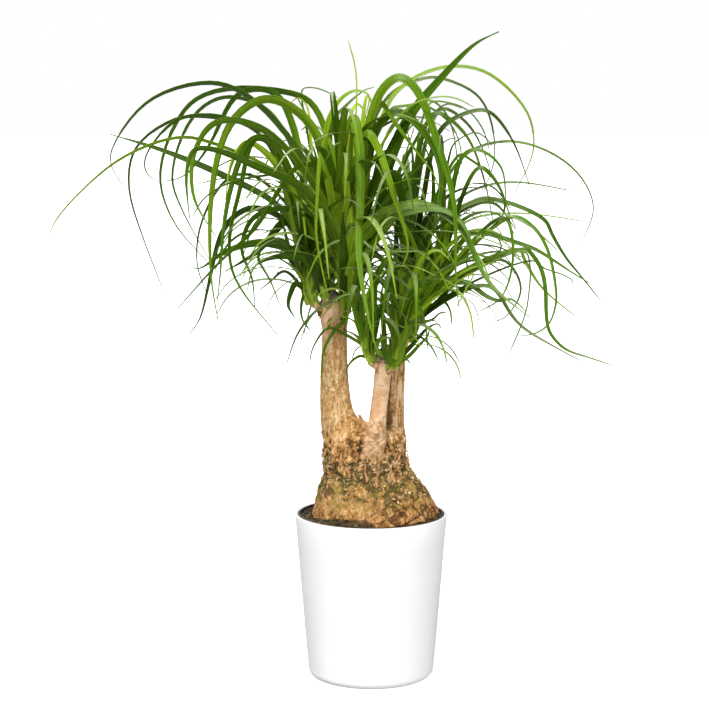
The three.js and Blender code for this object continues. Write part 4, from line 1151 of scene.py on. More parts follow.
@dataclass
class Trunk:
    """The swollen foot, both trunks and the cut front branch, with bark in relief and its dry shreds."""

    voxel: float = 0.0011
    plate: float = 0.0155
    plate_crack: float = 0.17
    crack_depth: float = 0.0012
    furrow_depth: float = 0.0011
    ledge: float = 0.0024
    grit: float = 0.0008
    spur: float = 0.0045
    spur_half: float = 0.0150
    stub: float = 0.0105
    soil_line: float = 0.203
    shreds: int = 1000
    flakes: int = 420
    shreds_low: float = 0.216
    shreds_middle: float = 0.256
    shreds_high: float = 0.306
    smoothing: int = 16

    def build(self) -> None:
        """Remeshes a copy of the trunk's solid and works the bark into it."""
        piece = copy_of_node("trunk", "trunk_bark")
        apply_modifier(piece, "REMESH", mode="VOXEL", voxel_size=self.voxel)
        apply_modifier(piece, "SMOOTH", factor=0.5, iterations=self.smoothing)
        points, normals = points_of(piece), points_of(piece, "normal")
        marks, forms, lift = self.bark(points, normals)
        move_points(piece, points + normals * lift[:, None])
        paint_points(piece, "bark", marks)
        paint_points(piece, "form", forms)
        shade(piece, 80)
        settle(piece, "bark", BARK.material(), "trunk")
        self.hang_shreds(points, normals)
        front = normals[:, 1] < -0.25
        strips = join(*[strip.lay(points[front], normals[front]) for strip in STRIPS])
        strips.name = "bark_strips"
        shade(strips, 50)
        settle(strips, "bark", CURL.material())

    def bark(self, points: Array, normals: Array) -> tuple[Array, Array, Array]:
        """Works out the bark's relief.

        Args:
            points: The trunk's vertices.
            normals: Their normals.

        Returns:
            For each vertex its marks (how deep in a crack or in painted shade, how smooth and young, how
            much a cut face), its forms (how high in the relief, lowered where shade is painted, how
            mouldy, how far up the shafts) and how far it is lifted.
        """
        zone = Zone.over(points, normals, self.spur_half)
        rows = [self.bark_at(Vector(here), Zone(*shares)) for here, shares in zip(points, zip(*zone))]
        crack, lift, relief, mould = np.array(rows).T
        lift = lift + (self.spur * zone.spur - 0.0012 * zone.spur_edge + self.stub * zone.stub)
        young = np.maximum(zone.young, 0.62 * np.sqrt(zone.spur))
        rings = np.sin(points[:, 2] / 0.0021 + 2.2 * np.sin(points[:, 0] * 190)) * 0.00009
        # The crack mark also carries the painted shade of the crevice, which darkens the colour there.
        crack = crack + zone.cut * np.clip(0.5 * relief, 0, 0.8) + 0.85 * zone.cleft
        marks = np.stack([np.clip(crack, 0, 1), young * (1 - zone.cleft), zone.cut], axis=1)
        forms = np.stack([np.clip(0.56 + 0.42 * relief, 0, 1),
                          np.clip(mould * (1 - 0.85 * zone.spur), 0, 1) * 0.8,
                          zone.shaft * (1 - zone.back) * (1 - young)], axis=1)
        return marks, forms, lift + rings * young

    def bark_at(self, place: Vector, zone: Zone) -> tuple[float, float, float, float]:
        """Works out the bark at one vertex.

        Args:
            place: The vertex.
            zone: The kinds of bark there.

        Returns:
            How deep in a crack it is, how far it is lifted, how high it is in the relief, how mouldy.
        """
        grit = 0.6 * noise.noise(place * 420) + 0.4 * noise.noise(place * 820)
        crack = rise = level = mould = 0.0
        for share, kind in ((zone.foot, self.foot_bark), (zone.collar, self.collar_bark),
                            (zone.shaft, self.shaft_bark)):
            if share > 0.01:
                deeper, higher, paler = kind(place, zone, grit)
                crack, rise, level = crack + share * deeper, rise + share * higher, level + share * paler
        if zone.mouldy > 0.01:
            patch = noise.noise(place * 80 + Vector((3, 8, 1))) + 0.8 * noise.noise(place * 280)
            mould = zone.mouldy * max(0.0, min(1.0, (patch + 0.17) * 2.4)) * (1.08 - grit)
        if zone.spur + zone.spur_edge > 0.02:
            curly = Vector((place.x, place.y, place.z * 1.4)) * 115
            net = max(0.0, 1 - abs(noise.noise(curly)) / 0.19)
            # Darker lines beside the spur: painted shadow along its grooved edges.
            crack = crack * (1 - zone.spur) + 0.8 * net * zone.spur + 0.55 * zone.spur_edge
            rise -= 0.0005 * net * zone.spur
        if place.z < self.soil_line:
            soiled = 0.1925 + 0.0075 * zone.heap + 0.003 * noise.noise(place * 120) - place.z
            crack += max(0.0, min(0.9, soiled / 0.0016))
        if zone.on_branch > 0.5 and noise.noise(place * 95) > 0.16:
            nick = abs(noise.noise(Vector((place.x * 70, place.y * 70, place.z * 380))))
            crack += 0.75 * max(0.0, 1 - nick / 0.08)
        if zone.cut > 0.02:
            level = noise.turbulence(place * 210, 3, False) - 0.35
            rise += zone.cut * level * self.stub * 0.5
        return crack, rise + grit * self.grit * (1 - 0.85 * zone.young), level, mould

    def foot_bark(self, place: Vector, zone: Zone, grit: float) -> tuple[float, float, float]:
        """Works out the bark of the foot, rough and at its right cracked into plates.

        Args:
            place: The vertex.
            zone: The kinds of bark there.
            grit: The fine grit there.

        Returns:
            How deep in a crack it is, how far it is lifted and how high it is in the relief.
        """
        warp = Vector((noise.noise(place * 90), noise.noise(place * 90 + Vector((9, 2, 4))), 0))
        near = noise.voronoi(place / self.plate + warp * 0.5)[0]
        edge = near[1] - near[0]
        line = max(0.0, 1 - edge / self.plate_crack) * zone.plates
        dome = min(edge, 0.24) * zone.plates
        lumps = noise.turbulence(place * 95, 3, False)
        level = (lumps - 0.45) * 0.35 + 0.32 * grit + 0.30 * noise.noise(place * 40)
        return (min(1.0, 1.2 * line), self.crack_depth * (dome - 1.4 * line) + (lumps - 0.5) * 0.0010,
                level * (1 - 0.4 * zone.plates) - 0.10)

    def collar_bark(self, place: Vector, zone: Zone, grit: float) -> tuple[float, float, float]:
        """Works out the rough bark of the collar, drawn into upright threads.

        Args:
            place: The vertex.
            zone: The kinds of bark there.
            grit: The fine grit there, which shows no further here.

        Returns:
            How deep in a crack it is, how far it is lifted and how high it is in the relief.
        """
        drawn = Vector((place.x * 230, place.y * 230, place.z * 60))
        threads = noise.noise(drawn) + 0.6 * noise.noise(drawn * 2.6)
        lumps = noise.turbulence(place * 105, 4, False) - 0.5
        # Lower relief, so darker bark, below the saddle: painted shade.
        level = lumps * 0.75 + 0.7 * threads + 0.04 - 0.75 * zone.crotch
        return 0.0, lumps * self.ledge + threads * 0.0007, level

    def shaft_bark(self, place: Vector, zone: Zone, grit: float) -> tuple[float, float, float]:
        """Works out the bark of the trunks, furrowed along them and deepest on the back one.

        Args:
            place: The vertex.
            zone: The kinds of bark there.
            grit: The fine grit there.

        Returns:
            How deep in a crack it is, how far it is lifted and how high it is in the relief.
        """
        rough = 1 - 0.94 * zone.young
        grain = Vector((place.x * 240, place.y * 240, place.z * (52 - 24 * zone.back)))
        furrow = abs(noise.noise(grain)) + 0.5 * abs(noise.noise(grain * 2.1))
        line = max(0.0, 1 - furrow / (0.16 + 0.10 * zone.back)) * rough
        level = ((0.9 + 1.3 * zone.back) * (furrow - 0.3) + 0.45 * grit + 0.28) * rough
        # Darker low down below the saddle, which is painted shade, and darker where weathered.
        level -= 0.45 * zone.crotch * (place.z < 0.325) + 0.5 * zone.worn
        return line * (0.42 + 0.45 * zone.back), -line * self.furrow_depth, level

    @staticmethod
    def pattern(length: float, width: float, arch: float) -> Piece:
        """Models one thin pointed shred, arched along its length.

        Args:
            length: Its length.
            width: Its width.
            arch: How high it arches.

        Returns:
            The shred.
        """
        pattern = added(bpy.ops.mesh.primitive_plane_add, size=1)
        with editing(pattern):
            bpy.ops.transform.resize(value=(length, width, 1))
            bpy.ops.mesh.subdivide(number_cuts=2)
        shape = points_of(pattern)
        shape[:, 1] *= 1 - (shape[:, 0] / length * 2) ** 2 * 0.75
        shape[:, 2] += arch * (1 - (shape[:, 0] / length * 2) ** 2 * 1.4)
        move_points(pattern, shape)
        apply_modifier(pattern, "SOLIDIFY", thickness=0.0003, offset=0)
        return pattern

    def hang_shreds(self, points: Array, normals: Array) -> None:
        """Hangs dry fibres and flakes on the collar, thickest in its middle.

        Args:
            points: The trunk's vertices.
            normals: Their normals.
        """
        draws = Draws(SEED + 2)
        high = points[:, 2]
        clear = distance_to(points, FRONT_BRANCH) > 1.05
        wanted = np.nonzero((high > self.shreds_low) & (high < self.shreds_high) & clear)[0]
        kinds = (("bark_shreds", self.shreds, 0.0060, 0.0008, 0.0009, 0.019),
                 ("bark_flakes", self.flakes, 0.0034, 0.0022, 0.0004, 0.026))
        for name, count, length, width, arch, spread in kinds:
            places = []
            for _ in range(count):
                i = wanted[int(draws.one() * len(wanted))]
                here, out = Vector(points[i]), Vector(normals[i])
                if draws.one() > math.exp(-((here.z - self.shreds_middle) / spread) ** 2) + 0.06:
                    continue
                drift = Vector((draws.between(-1, 1), draws.between(-1, 1), draws.between(-1, 1)))
                lean = (out + drift * 0.45).normalized()
                places.append((here + out * 0.0004, lean, draws.between(0.45, 1.5)))
            shreds = scatter(name, self.pattern(length, width, arch), places, draws)
            settle(shreds, "bark", FIBRE.material())


@dataclass(frozen=True)
class Spray:
    """What a shoot's unseen leaves are like: how many, shortest, longest and width, in millimetres."""

    count: int
    shortest: float
    longest: float
    width: float


@dataclass(frozen=True)
class SeenLeaf:
    """A leaf followed from the front, in millimetres.

    It holds its shoot, the width it shows, how far its tip swings away from the viewer, the share of its
    face that shows near the root and near the tip, its route (x, z, x, z and so on, where the sightline
    crosses y = 0), and how much paler it is than its shoot's other leaves.
    """

    shoot: str
    width: float
    swing: float
    shown_root: float
    shown_tip: float
    route: tuple[float, ...]
    tone: float = 0.0


@dataclass(frozen=True)
class Shoot:
    """A leafy stem: its axis as x, y, z and radius, its unseen leaves, and how pale its leaves are."""

    axis: Rows
    spray: Spray
    tone: float


SHOOTS: dict[str, Shoot] = {
    "shoot_left": Shoot(((-53, -3, 434, 5.6), (-64, -5, 441, 6.4), (-71, -7, 457, 6), (-77, -8, 478, 5),
                         (-83, -9, 500, 3.6)), Spray(14, 120, 240, 8.5), 0.44),
    "shoot_front": Shoot(((-49, -8, 438, 3), (-51, -18, 447, 3.6), (-58, -24, 466, 3.2),
                          (-67, -27, 486, 2.4)), Spray(5, 90, 150, 6.5), 0.45),
    "shoot_main": Shoot(((-39, -4, 425, 6), (-30, -10, 436, 7), (-31, -12, 458, 7.4), (-34, -12, 500, 8.4),
                         (-33, -11, 546, 5.5)), Spray(30, 200, 330, 11), 0.60),
    "shoot_rear": Shoot(((-45, 6, 434, 5), (-46, 17, 447, 6), (-49, 23, 475, 5.6), (-52, 27, 512, 4.2)),
                        Spray(24, 220, 340, 10), 0.52),
    "shoot_branch_left": Shoot(((9, -22, 368, 3.6), (1, -28, 377, 4.6), (-7, -30, 397, 4),
                                (-16, -32, 430, 3.6), (-24, -33, 458, 2.6)), Spray(12, 90, 180, 8), 0.62),
    "shoot_branch_right": Shoot(((15, -22, 364, 3.6), (22, -29, 370, 4.6), (28, -33, 397, 4),
                                 (36, -35, 433, 2.8)), Spray(12, 100, 190, 8), 0.65),
    "shoot_back_right": Shoot(((31, 11, 384, 4.6), (39, 4, 398, 5.6), (48, 2, 421, 5), (62, 0, 445, 4.6),
                               (84, -2, 490, 3.4)), Spray(16, 140, 270, 8.5), 0.55),
    "shoot_back_rear": Shoot(((26, 19, 384, 4.6), (28, 28, 400, 5.6), (34, 34, 440, 5.4),
                              (46, 38, 490, 4)), Spray(28, 220, 340, 10), 0.50),
}

LEFT, FRONT, MAIN, REAR, BRANCH_LEFT, BRANCH_RIGHT, BACK_RIGHT, BACK_REAR = SHOOTS

SEEN_LEAVES: tuple[SeenLeaf, ...] = tuple(SeenLeaf(*row) for row in (
    (MAIN, 12, -120, 0.9, 0.8, (-39, 538, -50, 608, -78, 660, -121, 681, -160, 656, -183, 589, -187, 478,
        -179, 424), 0.1),
    (MAIN, 14, -165, 1, 1, (-28, 560, -26, 640, -20, 658, -14, 620, -13, 560, -15, 500, -3, 425, 8,
        385), 0.14),
    (MAIN, 11, -115, 0.9, 0.9, (-5, 642, 5, 629, 15, 604, 27, 566, 38, 533, 43, 507, 36, 487), 0.03),
    (MAIN, 8, -95, 1, 0.7, (-33, 563, -37, 630, -46, 644, -58, 620, -63, 560, -64, 520, -50, 452), 0.25),
    (MAIN, 12, -150, 0.8, 0.9, (-12, 600, 8, 684, 31, 705, 51, 692, 76, 630, 96, 560, 98, 480, 102, 440)),
    (MAIN, 12, -70, 0.7, 0.8, (-10, 560, 3, 640, 28, 666, 61, 642, 80, 600, 76, 550, 60, 488)),
    (MAIN, 17, -30, 0.7, 1, (20, 617, 46, 665, 81, 706, 118, 743, 146, 757)),
    (MAIN, 5, 60, 0.5, 0.5, (5, 640, 30, 690, 79, 716, 130, 712, 176, 671, 187, 640, 185, 613, 163, 568)),
    (MAIN, 12, -205, 0.8, 0.6, (-1, 537, 30, 555, 64, 558, 104, 532, 135, 470, 184, 428), 0.02),
    (MAIN, 9, 40, 0.6, 0.4, (-43, 538, -93, 632, -142, 683, -185, 699, -256, 679, -299, 625, -301, 605,
        -286, 578), 0.02),
    (LEFT, 16, -45, 0.15, 1, (-80, 510, -105, 557, -161, 589, -241, 622, -301, 640), 0.1),
    (MAIN, 6, -80, 0.5, 0.9, (-100, 590, -178, 628, -221, 637, -287, 614, -338, 573, -367, 540, -375,
        522)),
    (MAIN, 9, -240, 0.6, 0.6, (-41, 525, -78, 576, -128, 600, -180, 622, -205, 622, -214, 595, -211,
        543), 0.02),
    (LEFT, 10, -95, 0.8, 0.6, (-83, 554, -105, 617, -125, 636, -140, 632, -158, 594, -171, 536, -176, 476,
        -180, 446), 0.15),
    (LEFT, 7, -150, 0.6, 0.5, (-117, 628, -135, 634, -151, 579, -165, 518, -159, 473, -109, 406), 0.06),
    (LEFT, 9, -70, 0.8, 0.6, (-68, 520, -91, 553, -136, 545, -151, 507, -139, 475, -136, 440), -0.1),
    (LEFT, 14, 10, 0.8, 0.9, (-72, 540, -85, 546, -103, 538, -130, 506, -171, 481), -0.05),
    (LEFT, 13, 60, 0.9, 1, (-85, 500, -125, 515, -169, 505, -199, 485, -210, 486), -0.1),
    (LEFT, 8, 110, 0.6, 0.5, (-95, 535, -138, 555, -170, 533, -190, 463, -200, 426, -214, 406)),
    (FRONT, 13, -35, 0.9, 0.8, (-69, 489, -83, 498, -118, 497, -140, 485), 0.05),
    (REAR, 10, 110, 0.8, 0.7, (-74, 551, -88, 640, -112, 688, -154, 686, -187, 627, -217, 592, -240,
        586), 0.06),
    (REAR, 9, 170, 0.8, 0.5, (-45, 600, -68, 675, -110, 690, -177, 690, -214, 670, -245, 595, -229, 538,
        -188, 490), 0.1),
    (REAR, 9, 70, 0.35, 1, (-100, 626, -168, 659, -199, 662, -221, 658, -237, 647, -252, 630, -261, 614,
        -262, 601, -256, 591, -247, 586), -0.15),
    (REAR, 4, 230, 0.5, 0.5, (-130, 643, -193, 660, -227, 657, -272, 625, -281, 580, -265, 520, -241,
        456)),
    (REAR, 5, 250, 0.5, 0.5, (-110, 660, -167, 683, -205, 661, -231, 592, -218, 550, -189, 496)),
    (MAIN, 9, -190, 0.5, 0.6, (-115, 640, -177, 655, -204, 621, -206, 567, -181, 523)),
    (MAIN, 5.5, -170, 0.6, 0.6, (-60, 600, -81, 605, -101, 585, -133, 533, -177, 492, -226, 438), -0.1),
    (REAR, 4, 120, 0.5, 0.5, (-130, 590, -165, 590, -197, 539, -203, 490, -192, 456)),
    (LEFT, 9, -20, 0.8, 1, (-80, 462, -88, 467, -94, 456, -97, 441, -89, 427), -0.15),
    (LEFT, 4, -42, 0.8, 0.8, (-76, 460, -82, 440, -80, 424, -71, 412)),
    (LEFT, 4, 40, 0.5, 0.5, (-100, 482, -118, 469, -130, 460)),
    (LEFT, 4, -110, 0.5, 0.5, (-105, 520, -132, 501, -118, 472, -107, 443)),
    (MAIN, 5, -26, 0.8, 0.8, (-31, 425, -42, 413, -56, 388, -58, 354)),
    (BRANCH_LEFT, 4, -24, 0.6, 0.6, (-8, 392, -34, 409, -51, 415, -69, 390, -72, 373)),
    (BRANCH_LEFT, 4, -10, 0.8, 0.8, (-5, 381, -14, 382, -28, 369, -27, 354)),
    (MAIN, 10, -75, 0.8, 0.6, (-54, 634, -40, 675, -20, 690, -3, 685, -6, 664), 0.1),
    (MAIN, 7, 70, 0.6, 0.6, (-47, 651, -33, 669, -9, 690, 3, 694)),
    (MAIN, 3, -200, 0.6, 0.6, (-25, 538, -4, 511, 20, 505, 58, 505)),
    (REAR, 8, 60, 0.7, 0.7, (-56, 600, -75, 661, -88, 687), 0.25),
    (MAIN, 4, 130, 0.5, 0.5, (14, 679, 61, 704, 84, 703, 127, 680, 143, 617, 129, 572)),
    (BACK_REAR, 7, 60, 0.6, 0.6, (60, 560, 78, 643, 106, 663, 134, 667, 163, 633, 183, 581)),
    (MAIN, 3, -110, 0.6, 0.6, (36, 667, 76, 683, 98, 681, 118, 671)),
    (BACK_REAR, 6, -60, 0.6, 0.6, (68, 666, 107, 642, 129, 593, 143, 531)),
    (BACK_REAR, 5.5, 160, 0.5, 0.5, (76, 670, 113, 650, 136, 603, 138, 592)),
    (BACK_RIGHT, 8, -70, 0.9, 0.7, (102, 611, 121, 623, 150, 603, 156, 559)),
    (BACK_RIGHT, 6, -30, 0.7, 0.7, (123, 605, 151, 574, 153, 547, 121, 520)),
    (BACK_REAR, 4, 110, 0.5, 0.5, (100, 610, 151, 632, 201, 622, 241, 593, 258, 555, 245, 516), -0.1),
    (BACK_REAR, 3, 200, 0.5, 0.5, (100, 565, 137, 582, 172, 585, 232, 575)),
    (BACK_REAR, 3, 40, 0.5, 0.5, (110, 540, 162, 549, 199, 547, 249, 539)),
    (BACK_RIGHT, 8, 50, 0.5, 0.9, (100, 551, 114, 560, 130, 566, 155, 562, 173, 556, 189, 549, 203, 539,
        210, 524, 228, 495, 240, 481, 268, 447), -0.05),
    (BACK_RIGHT, 6.5, -100, 0.5, 0.9, (162, 546, 189, 532, 203, 511, 210, 490, 214, 469, 216, 449, 212,
        429, 205, 417, 190, 408, 173, 406), -0.05),
    (BACK_RIGHT, 8, 10, 0.7, 0.9, (115, 526, 144, 523, 162, 517, 189, 508, 208, 497, 237, 478, 256, 467)),
    (BACK_RIGHT, 6, 95, 0.8, 0.6, (171, 508, 178, 495, 190, 474, 201, 460, 219, 444, 240, 428)),
    (BACK_RIGHT, 9, -60, 0.35, 1, (177, 508, 189, 498, 198, 483, 203, 460, 204, 434, 207, 414, 215, 401,
        229, 389, 256, 380, 285, 370), -0.05),
    (BACK_RIGHT, 5, -150, 0.6, 0.6, (135, 467, 170, 421, 218, 391, 246, 376)),
    (BACK_RIGHT, 10, -80, 0.7, 1, (80, 463, 95, 468, 112, 468, 133, 453, 148, 447, 163, 449, 171, 444, 181,
        434)),
    (BACK_RIGHT, 6, -45, 0.7, 0.7, (80, 448, 113, 483, 151, 495)),
    (BACK_RIGHT, 4, 70, 0.5, 0.5, (150, 497, 175, 462, 158, 429, 142, 422)),
    (BACK_RIGHT, 4, -190, 0.6, 0.6, (153, 547, 165, 504, 153, 452, 125, 434)),
    (BACK_RIGHT, 9, 30, 0.8, 0.7, (80, 520, 100, 550, 141, 562, 167, 531)),
    (BRANCH_RIGHT, 10, -60, 0.9, 0.8, (48, 470, 62, 500, 78, 506, 92, 494)),
    (BACK_RIGHT, 6, -25, 0.8, 1, (77, 444, 85, 446, 92, 436, 94, 419)),
    (BACK_RIGHT, 4, 20, 0.8, 0.8, (72, 425, 79, 432, 89, 434)),
    (BRANCH_RIGHT, 4, -20, 0.8, 0.8, (40, 421, 60, 424, 79, 423)),
    (BRANCH_LEFT, 12, -70, 0.9, 0.9, (2, 440, 5, 474, 29, 507, 42, 508)),
    (BRANCH_LEFT, 8, -40, 0.8, 0.8, (1, 423, 11, 439, 25, 453)),
    (BRANCH_RIGHT, 6, -45, 0.8, 0.8, (24, 444, 31, 450, 45, 449)),
    (BRANCH_RIGHT, 6, -100, 0.7, 0.7, (45, 451, 59, 469, 103, 494)),
    (BRANCH_RIGHT, 5, -12, 0.8, 0.8, (29, 371, 41, 378, 46, 373)),
    (MAIN, 10, 40, 0.9, 0.8, (-6, 518, 15, 551, 35, 581, 54, 601, 72, 620, 88, 634, 100, 636), -0.2),
    (MAIN, 11, -150, 0.8, 0.7, (-11, 518, 16, 539, 45, 551, 76, 554, 97, 546, 112, 526, 119, 492), -0.15),
    (MAIN, 8, -60, 0.8, 0.8, (1, 622, 3, 662, 10, 677, 25, 656, 49, 624, 72, 594, 79, 576), -0.03),
    (MAIN, 4, 80, 0.6, 0.6, (21, 668, 35, 672, 56, 674, 72, 668, 91, 652, 102, 629, 105, 599)),
    (MAIN, 3.5, 20, 0.6, 0.6, (37, 666, 67, 679, 81, 670, 90, 656, 96, 634, 99, 611, 102, 588), 0.1),
    (MAIN, 11, 40, 1, 0.9, (-33, 564, -31, 622, -25, 659, -17, 675, -9, 668, -5, 652), 0.55),
    (REAR, 8, 40, 1, 0.8, (-69, 564, -70, 611, -71, 651, -75, 674, -85, 682, -94, 675), 0.6),
    (LEFT, 13, -60, 0.9, 0.7, (-85, 555, -97, 582, -110, 605, -126, 622, -143, 631, -154, 622, -164, 599,
        -169, 564), 0.5),
    (REAR, 3.5, 120, 0.6, 0.6, (-76, 656, -80, 679, -79, 692, -64, 693, -48, 687, -39, 682)),
    (MAIN, 3, -100, 0.6, 0.6, (-94, 592, -127, 592, -152, 588, -178, 578, -196, 564, -208, 544), -0.2),
    (FRONT, 8, -30, 0.9, 0.9, (-76, 506, -83, 511, -93, 510, -99, 503), -0.2),
    (BRANCH_LEFT, 10, -25, 1, 1, (-4, 387, -13, 415, -21, 441, -26, 462), -0.1),
    (BRANCH_LEFT, 7, -35, 0.9, 0.9, (-6, 401, -12, 424, -11, 448, -7, 464, -2, 476), -0.1),
    (BRANCH_RIGHT, 7, -45, 0.9, 0.9, (6, 389, 10, 401, 20, 404, 27, 400), -0.1),
    (BRANCH_RIGHT, 10, 10, 1, 0.9, (34, 395, 48, 424, 54, 453, 57, 476, 54, 492), 0.3),
    (BRANCH_RIGHT, 6, 10, 0.8, 0.8, (39, 401, 57, 434, 80, 457, 103, 478, 124, 488, 150, 492), 0.1),
    (BRANCH_RIGHT, 6, -20, 0.8, 0.8, (34, 380, 55, 403, 66, 415, 78, 420, 82, 414), -0.2),
    (BRANCH_RIGHT, 5, -35, 0.8, 0.8, (41, 380, 55, 394, 66, 406, 68, 415), -0.1),
    (BRANCH_RIGHT, 12, -60, 1, 1, (30, 375, 34, 389, 39, 403, 42, 415, 39, 427), 0.05),
    (BRANCH_LEFT, 4, -60, 0.7, 0.7, (1, 453, 10, 471, 26, 488, 43, 485, 52, 471, 54, 462)),
    (BACK_REAR, 3, 140, 0.6, 0.6, (63, 674, 90, 676, 113, 666, 130, 643, 137, 617), 0.1),
    (BACK_RIGHT, 4, 60, 0.7, 0.7, (91, 622, 102, 635, 121, 642, 134, 634, 141, 624), -0.1),
    (BACK_REAR, 4.5, -30, 0.7, 0.7, (100, 617, 114, 611, 133, 597, 149, 578, 158, 553, 170, 527)),
    (BACK_RIGHT, 7, -20, 0.8, 0.7, (71, 495, 91, 527, 114, 546, 138, 551, 156, 541, 166, 525), 0.05),
    (BACK_RIGHT, 6, -50, 0.8, 0.7, (75, 492, 98, 518, 121, 530, 145, 527, 168, 511), 0.1),
    (BRANCH_RIGHT, 6, 20, 0.8, 0.7, (80, 481, 103, 492, 133, 503, 157, 504, 178, 497)),
    (BACK_RIGHT, 4, -80, 0.7, 0.7, (115, 504, 131, 499, 143, 499, 151, 509, 147, 520, 140, 523), -0.1),
    (BACK_RIGHT, 2.5, 60, 0.7, 0.7, (178, 506, 185, 483, 184, 460, 181, 436, 172, 410, 161, 384), 0.2),
    (BACK_RIGHT, 3, -20, 0.7, 0.7, (187, 495, 201, 485, 222, 478, 234, 471, 235, 464), -0.1),
    (BRANCH_RIGHT, 2.5, -60, 0.7, 0.7, (120, 481, 110, 460, 99, 439), 0.3),
    (MAIN, 2.5, 20, 0.7, 0.7, (-19, 645, -17, 693, -19, 718, -27, 748), 0.3),
))

# Broad leaves in the thick of the crown, behind those that can be followed.
MIDDLE_LEAVES: tuple[SeenLeaf, ...] = tuple(SeenLeaf(*row) for row in (
    (MAIN, 11, 20, 0.9, 0.9, (-4, 492, 5, 527, 17, 557, 31, 585, 47, 611), -0.1),
    (MAIN, 10, 60, 0.9, 0.8, (-11, 523, -2, 559, 10, 592, 24, 622, 37, 647), -0.25),
    (MAIN, 9, 80, 0.8, 0.8, (-18, 541, -11, 576, -4, 611, 5, 643, 17, 666), -0.1),
    (MAIN, 13, -50, 1, 0.9, (-25, 492, -25, 532, -28, 570, -29, 611, -25, 643), 0.45),
    (REAR, 10, 60, 0.9, 0.8, (-46, 492, -55, 524, -67, 559, -78, 590, -87, 611), -0.1),
    (REAR, 9, 90, 0.9, 0.8, (-39, 518, -43, 553, -48, 588, -50, 622, -57, 647), 0.15),
    (BACK_REAR, 9, 60, 0.9, 0.8, (43, 422, 50, 457, 57, 492, 61, 527, 63, 559), 0.2),
    (BACK_REAR, 9, 90, 0.9, 0.8, (34, 427, 31, 460, 29, 492, 29, 524, 33, 553), -0.1),
    (BACK_RIGHT, 9, 10, 0.9, 0.8, (48, 413, 62, 446, 75, 476, 91, 504, 105, 523), 0.2),
    (BACK_RIGHT, 9, 40, 0.9, 0.8, (55, 427, 73, 457, 89, 485, 103, 511, 110, 534), -0.15),
    (BRANCH_LEFT, 7, 20, 0.9, 0.9, (3, 401, 8, 427, 15, 450, 24, 471, 31, 485)),
    (BRANCH_RIGHT, 8, -10, 1, 0.9, (24, 389, 31, 415, 38, 441, 43, 464, 43, 483), 0.2),
    (BRANCH_RIGHT, 7, 30, 0.9, 0.9, (17, 387, 15, 413, 13, 436, 12, 457, 17, 476), -0.1),
    (LEFT, 8, 30, 0.9, 0.8, (-69, 448, -78, 469, -88, 485, -99, 499, -111, 506), -0.2),
    (LEFT, 8, -10, 0.9, 0.8, (-74, 460, -85, 483, -95, 506, -101, 530, -106, 551)),
    (LEFT, 9, -30, 1, 0.9, (-79, 524, -84, 559, -91, 591, -100, 615, -117, 632, -131, 638), 0.55),
    (REAR, 12, 60, 1, 0.9, (-69, 512, -76, 555, -79, 599, -84, 634), 0.1),
    (REAR, 6, -20, 0.9, 0.9, (-67, 518, -70, 574, -71, 622, -72, 640), 0.4),
    (MAIN, 14, -60, 1, 1, (-30, 448, -31, 471, -32, 501, -33, 524, -33, 551), -0.35),
    (BRANCH_RIGHT, 9, -30, 1, 1, (24, 373, 18, 384, 14, 395, 10, 410), -0.25),
    (BRANCH_RIGHT, 10, -10, 1, 1, (27, 377, 30, 389, 35, 402, 41, 419, 43, 434), -0.1),
    (BRANCH_RIGHT, 6, -20, 1, 0.9, (27, 376, 28, 402, 30, 420, 27, 440), 0.25),
    (BRANCH_LEFT, 6, -10, 1, 1, (0, 389, 6, 399, 15, 403, 25, 404), -0.3),
    (BRANCH_LEFT, 5, -30, 1, 1, (0, 413, 4, 436, 17, 447, 30, 454, 38, 448)),
    (BRANCH_LEFT, 8, -30, 1, 0.9, (-11, 427, -6, 444, 0, 459, 5, 474, 14, 490), 0.1),
    (BACK_RIGHT, 10.6, -20, 1, 0.9, (44, 401, 55, 427, 54, 456, 52, 483, 54, 506), 0.2),
    (BACK_RIGHT, 9, -30, 1, 0.9, (49, 407, 60, 440, 66, 456, 75, 469, 88, 481, 106, 492), 0.15),
    (MAIN, 11, 0, 1, 1, (-11, 518, 11, 553, 33, 583, 56, 604, 79, 622)),
    (MAIN, 10, -20, 1, 1, (-13, 492, 10, 523, 31, 547, 49, 564, 70, 574), 0.15),
    (BACK_REAR, 9, 40, 1, 0.9, (38, 436, 31, 483, 29, 524, 33, 559, 45, 588), 0.1),
    (MAIN, 8, 30, 1, 0.9, (-6, 524, 15, 559, 31, 592, 41, 622, 49, 647), 0.1),
    (BACK_REAR, 8, 30, 1, 0.9, (45, 448, 57, 489, 66, 527, 75, 560, 93, 581), -0.1),
    (MAIN, 7, 60, 0.9, 0.9, (1, 535, 24, 581, 45, 622, 65, 656, 86, 675, 104, 670), -0.05),
    (MAIN, 10, 30, 1, 0.9, (5, 553, 17, 585, 28, 616, 42, 645, 56, 659), -0.2),
    (BACK_REAR, 9, 60, 1, 0.9, (38, 506, 45, 547, 48, 588, 47, 622, 40, 647), -0.2),
    (BACK_REAR, 9, 30, 1, 0.9, (59, 495, 68, 535, 72, 576, 68, 611, 56, 636), -0.1),
    (MAIN, 8, 50, 1, 0.9, (-4, 553, 2, 582, 8, 611, 17, 639, 29, 659), -0.15),
    (MAIN, 11, 30, 1, 1, (-13, 588, -11, 628, -9, 666, -5, 684, -1, 680, 1, 659), 0.3),
    (REAR, 8, 30, 1, 0.9, (-53, 559, -60, 593, -66, 622, -76, 643)),
))

